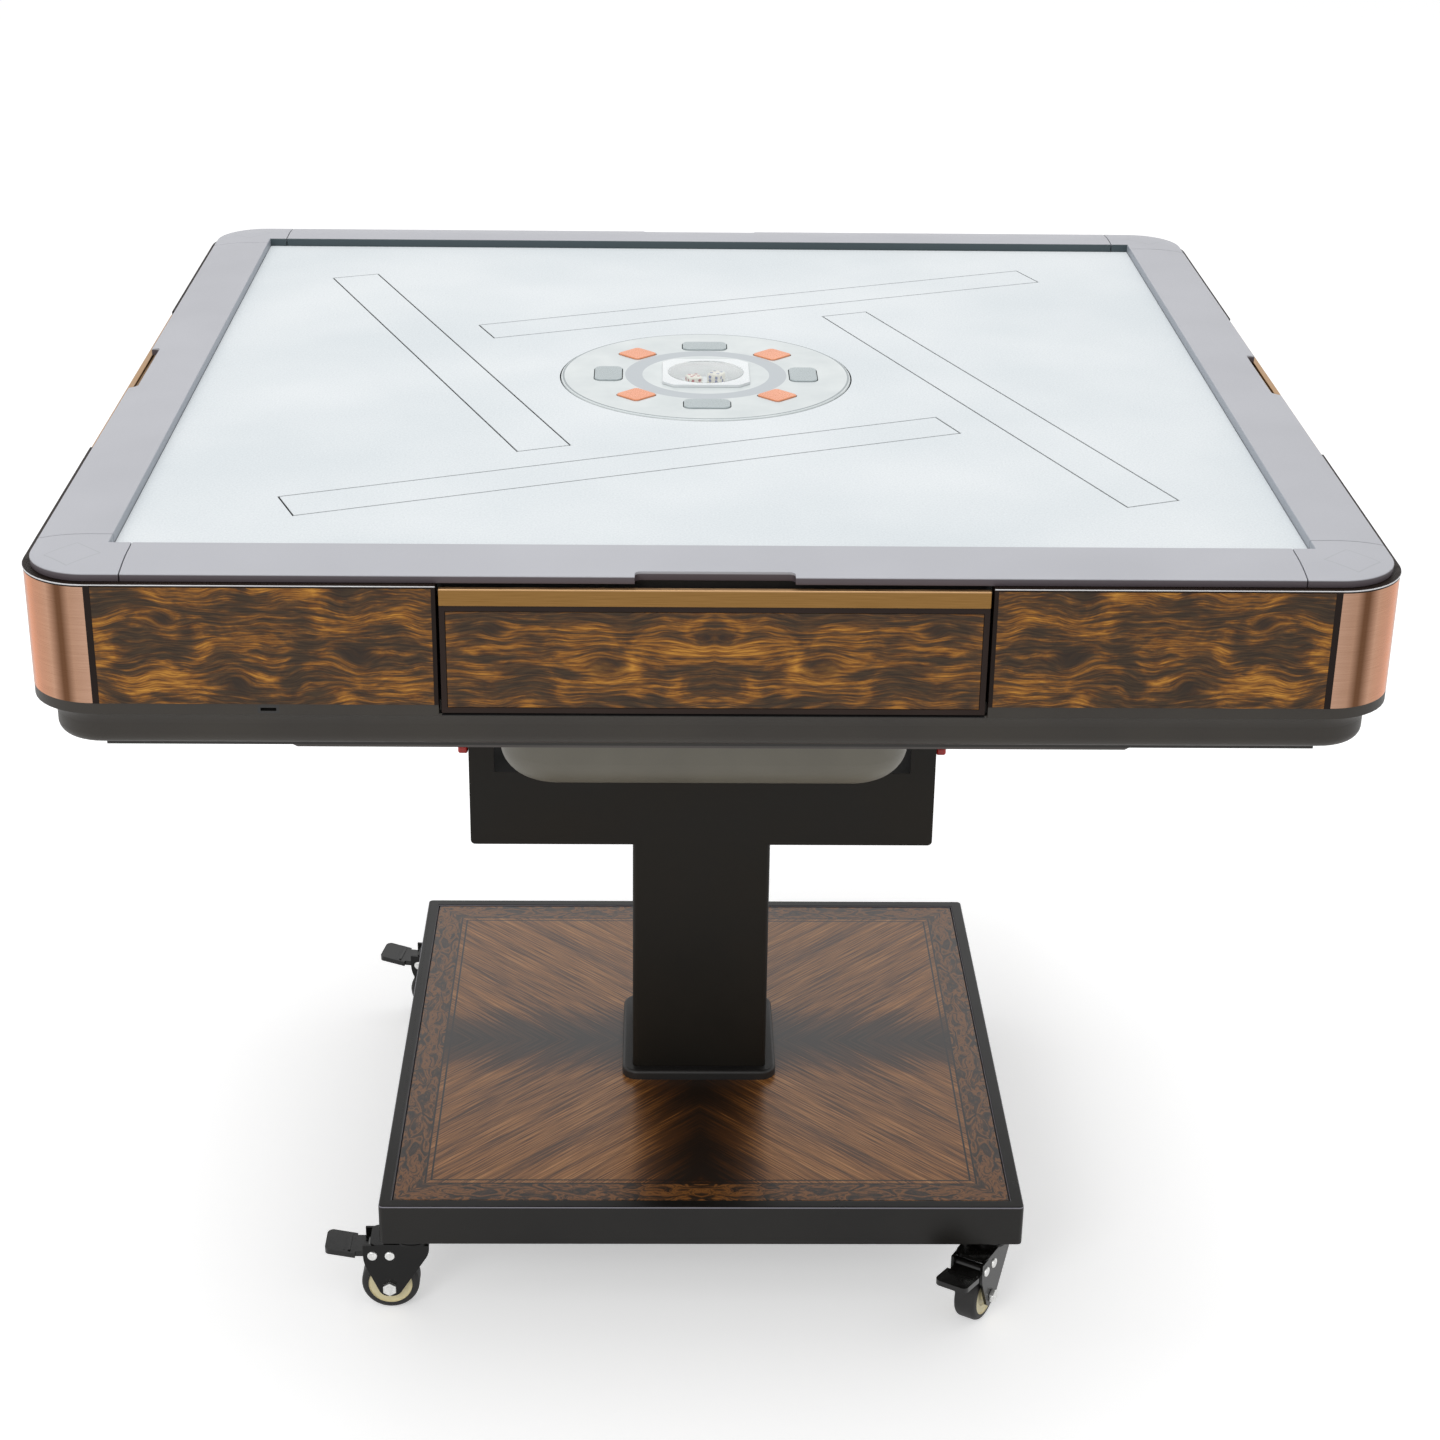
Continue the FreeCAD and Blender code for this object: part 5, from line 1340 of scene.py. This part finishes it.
def caster_wheel():
    """A rounded rubber tyre on a nylon core that is stepped in on both sides."""
    wheel = pin("wheel", wheel_radius, caster_trail, wheel_radius, wheel_width / 2, 72)
    soften(wheel, tyre_round, 5, lambda at, way: abs(way.y) < 0.1)
    tyre_side = wheel_radius - tyre_round - wheel_core_radius
    for hand in (-1, 1):
        pick(wheel, "FACE", lambda at, normal: normal.y * hand > 0.99)
        bpy.ops.mesh.inset(thickness=tyre_side * MM, depth=0)
        for width, depth in wheel_steps:
            bpy.ops.mesh.inset(thickness=width * MM, depth=depth * MM)
        rest()
    cut(wheel, pin("bore", wheel_bore, caster_trail, wheel_radius, bore_half, 32))
    wheel.data.materials.append(tyre_rubber)
    wheel.data.materials.append(core_nylon)
    hub = Vector((caster_trail, wheel_radius))
    for face in wheel.data.polygons:
        reach = (Vector((face.center.x, face.center.z)) / MM - hub).length
        face.material_index = 1 if reach < wheel_core_radius - wheel_core_seam else 0
    return wheel


def caster_pedal():
    """A hub on the brake's pin with an arm and a ridged pad whose end turns up."""
    levels = (pedal_z - pedal_plate_half, pedal_z + pedal_plate_half)
    pad_end_x = pedal_x + pad_end
    pedal = pin("pedal", pedal_hub_radius, pedal_x, pedal_z, pedal_half, 32)
    arm = block("pedal_arm", (pedal_x, pedal_x + pedal_arm_length), about(pedal_half), levels)
    pad = block("pedal_pad", (pedal_x + pad_start, pad_end_x), about(pad_half), levels)
    soften(pad, pad_round, 5, lambda at, way: upright(at, way) and at.x > pad_end_x - hair)
    pick(pad, "FACE", lambda at, normal: at.x > pad_end_x - pad_round and abs(normal.z) < 0.5)
    bpy.ops.transform.translate(value=(0, 0, pad_lift * MM))
    rest()
    ridges = [block("ridge", (pedal_x + start, pedal_x + start + ridge_width), about(ridge_half),
                    (pedal_z, pedal_z + ridge_height)) for start in ridge_starts]
    weld(pedal, arm, pad, *ridges)
    cut(pedal, pin("pin_bore", pedal_bore, pedal_x, pedal_z, bore_half, 24))
    break_edges(pedal, pedal_edge, 3)
    return pedal


housing = caster_housing()
bolts = caster_bolts()
wheel = caster_wheel()
pedal = caster_pedal()
for corner in CORNERS:
    turn = caster_headings[corner]
    spot = [sign * caster_reach for sign in caster_signs[corner]] + [0]
    fork_body = "caster_fork_" + corner
    wheel_body = "caster_wheel_" + corner
    pedal_body = "caster_pedal_" + corner
    made = twin(housing, "caster_housing_" + corner, turn, spot)
    fit(made, fork_body, "black_steel", fork_gloss, [fork_body])
    made = twin(bolts, "caster_bolts_" + corner, turn, spot)
    fit(made, fork_body, "zinc_steel", zinc)
    made = twin(wheel, "caster_tyre_" + corner, turn, spot)
    fit(made, wheel_body, "caster_rubber", None, [wheel_body])
    made = twin(pedal, "caster_brake_" + corner, turn, spot)
    fit(made, pedal_body, "black_plastic", pedal_gloss, [pedal_body])
for model in (housing, bolts, wheel, pedal):
    bpy.data.objects.remove(model)

# Nodes of the part whose shape is right keep their place and get their finish
kept = {"play_board": black_abs, "apron_frame": strip_abs, "skirt": dark_abs, "skirt_sockets": black_abs,
        "chassis_frame": chassis_steel, "bottom_cover": cover_steel, "tile_tub": tub_pp,
        "tile_chute": turntable_pp, "mixer_motor": zinc, "control_box": box_abs,
        "drawer_runners": chassis_steel, "turntable": turntable_pp, "center_stem": box_abs,
        "pivot_pins": zinc, "caster_plates": zinc}
for side in SIDES:
    kept["drawer_box_" + side] = box_abs
    kept["lift_platform_" + side] = lift_zinc
for node, finish in kept.items():
    part = frame["nodes"][node]
    part.data.materials.clear()
    part.data.materials.append(finish)

# Floor, light and camera
floor_half = 15000.0
floor_drop = 0.5
paper_tooth = 1.5
paper_glow = 0.42
sky_fill = 0.6
overhead_place = (0.0, 200.0, 3400.0)
overhead_aim = (0.0, 0.0, 700.0)
overhead_width = 3000.0
overhead_watts = 48.0
front_place = (-1800.0, -3600.0, 2600.0)
front_aim = (0.0, 0.0, 500.0)
front_width = 1600.0
front_watts = 34.0
camera_place = (-37.507, -2189.529, 1439.096)
camera_sight = 200000.0
pixels = 1440
lens_pixels = 2694.976
centre_x_pixels = 703.940
centre_y_pixels = 723.384
pitch = 0.42695
yaw = 0.01801
roll = 0.01182


def seen_share(finish, unseen, seen):
    """One level for light that falls on the table, and another where the surroundings are looked at."""
    path = add(finish, "LightPath").outputs
    direct = add(finish, "Math", {0: path["Is Camera Ray"], 1: path["Is Glossy Ray"]}, operation="MAXIMUM")
    look = add(finish, "Math", {0: direct, 1: path["Is Transmission Ray"]}, operation="MAXIMUM")
    return add(finish, "MapRange", {0: look, 3: unseen, 4: seen})


def paper_finish():
    """White studio paper: matt with a fine tooth, and bright where it is looked at."""
    finish = new_finish("white_studio_paper")
    place = add(finish, "TexCoord").outputs["Object"]
    tooth = add(finish, "TexNoise", {"Vector": place, "Scale": per(paper_tooth), "Detail": 2.0})
    white = add(finish, "ValToRGB", {0: tooth}, stops=[(0.3, "F6F6F6"), (0.7, "F9F9F9")])
    sheet = add(finish, "BsdfPrincipled", {"Base Color": white, "Roughness": 0.9, "Specular IOR Level": 0.0})
    glow = add(finish, "Emission", {"Strength": seen_share(finish, 0.0, paper_glow)})
    lit = add(finish, "AddShader", {0: sheet, 1: glow})
    add(finish, "OutputMaterial", {"Surface": lit})
    return finish


rest()
bpy.ops.mesh.primitive_plane_add(size=2 * floor_half * MM, location=(0, 0, -floor_drop * MM))
floor = named("studio_floor")
floor.data.materials.append(paper_finish())

world = bpy.data.worlds.new("studio")
world.use_nodes = True
world.node_tree.nodes.clear()
sky = add(world, "Background", {"Color": linear("FFFFFF"), "Strength": seen_share(world, sky_fill, 1.0)})
add(world, "OutputWorld", {"Surface": sky})
bpy.context.scene.world = world


def softbox(name, place, aim, width, watts):
    """A square area light at a place, turned to an aim."""
    lamp = bpy.data.lights.new(name, "AREA")
    lamp.shape = "SQUARE"
    lamp.size = width * MM
    lamp.energy = watts
    holder = bpy.data.objects.new(name, lamp)
    bpy.context.scene.collection.objects.link(holder)
    holder.location = Vector(place) * MM
    holder.rotation_euler = (Vector(aim) - Vector(place)).to_track_quat("-Z", "Y").to_euler()


softbox("overhead_softbox", overhead_place, overhead_aim, overhead_width, overhead_watts)
softbox("front_softbox", front_place, front_aim, front_width, front_watts)

forward = Vector((math.sin(yaw) * math.cos(pitch), math.cos(yaw) * math.cos(pitch), -math.sin(pitch)))
level = Vector((math.cos(yaw), -math.sin(yaw), 0))
above = level.cross(forward)
right = level * math.cos(roll) + above * math.sin(roll)
top = above * math.cos(roll) - level * math.sin(roll)
lens = bpy.data.cameras.new("photograph_view")
lens.lens = lens_pixels / pixels * lens.sensor_width
lens.shift_x = (pixels / 2 - centre_x_pixels) / pixels
lens.shift_y = (centre_y_pixels - pixels / 2) / pixels
lens.clip_end = camera_sight * MM
camera = bpy.data.objects.new("photograph_view", lens)
bpy.context.scene.collection.objects.link(camera)
turned = Matrix((right, top, -forward)).transposed().to_4x4()
camera.matrix_world = Matrix.Translation(Vector(camera_place) * MM) @ turned
bpy.context.scene.camera = camera
bpy.context.scene.view_settings.view_transform = "Standard"
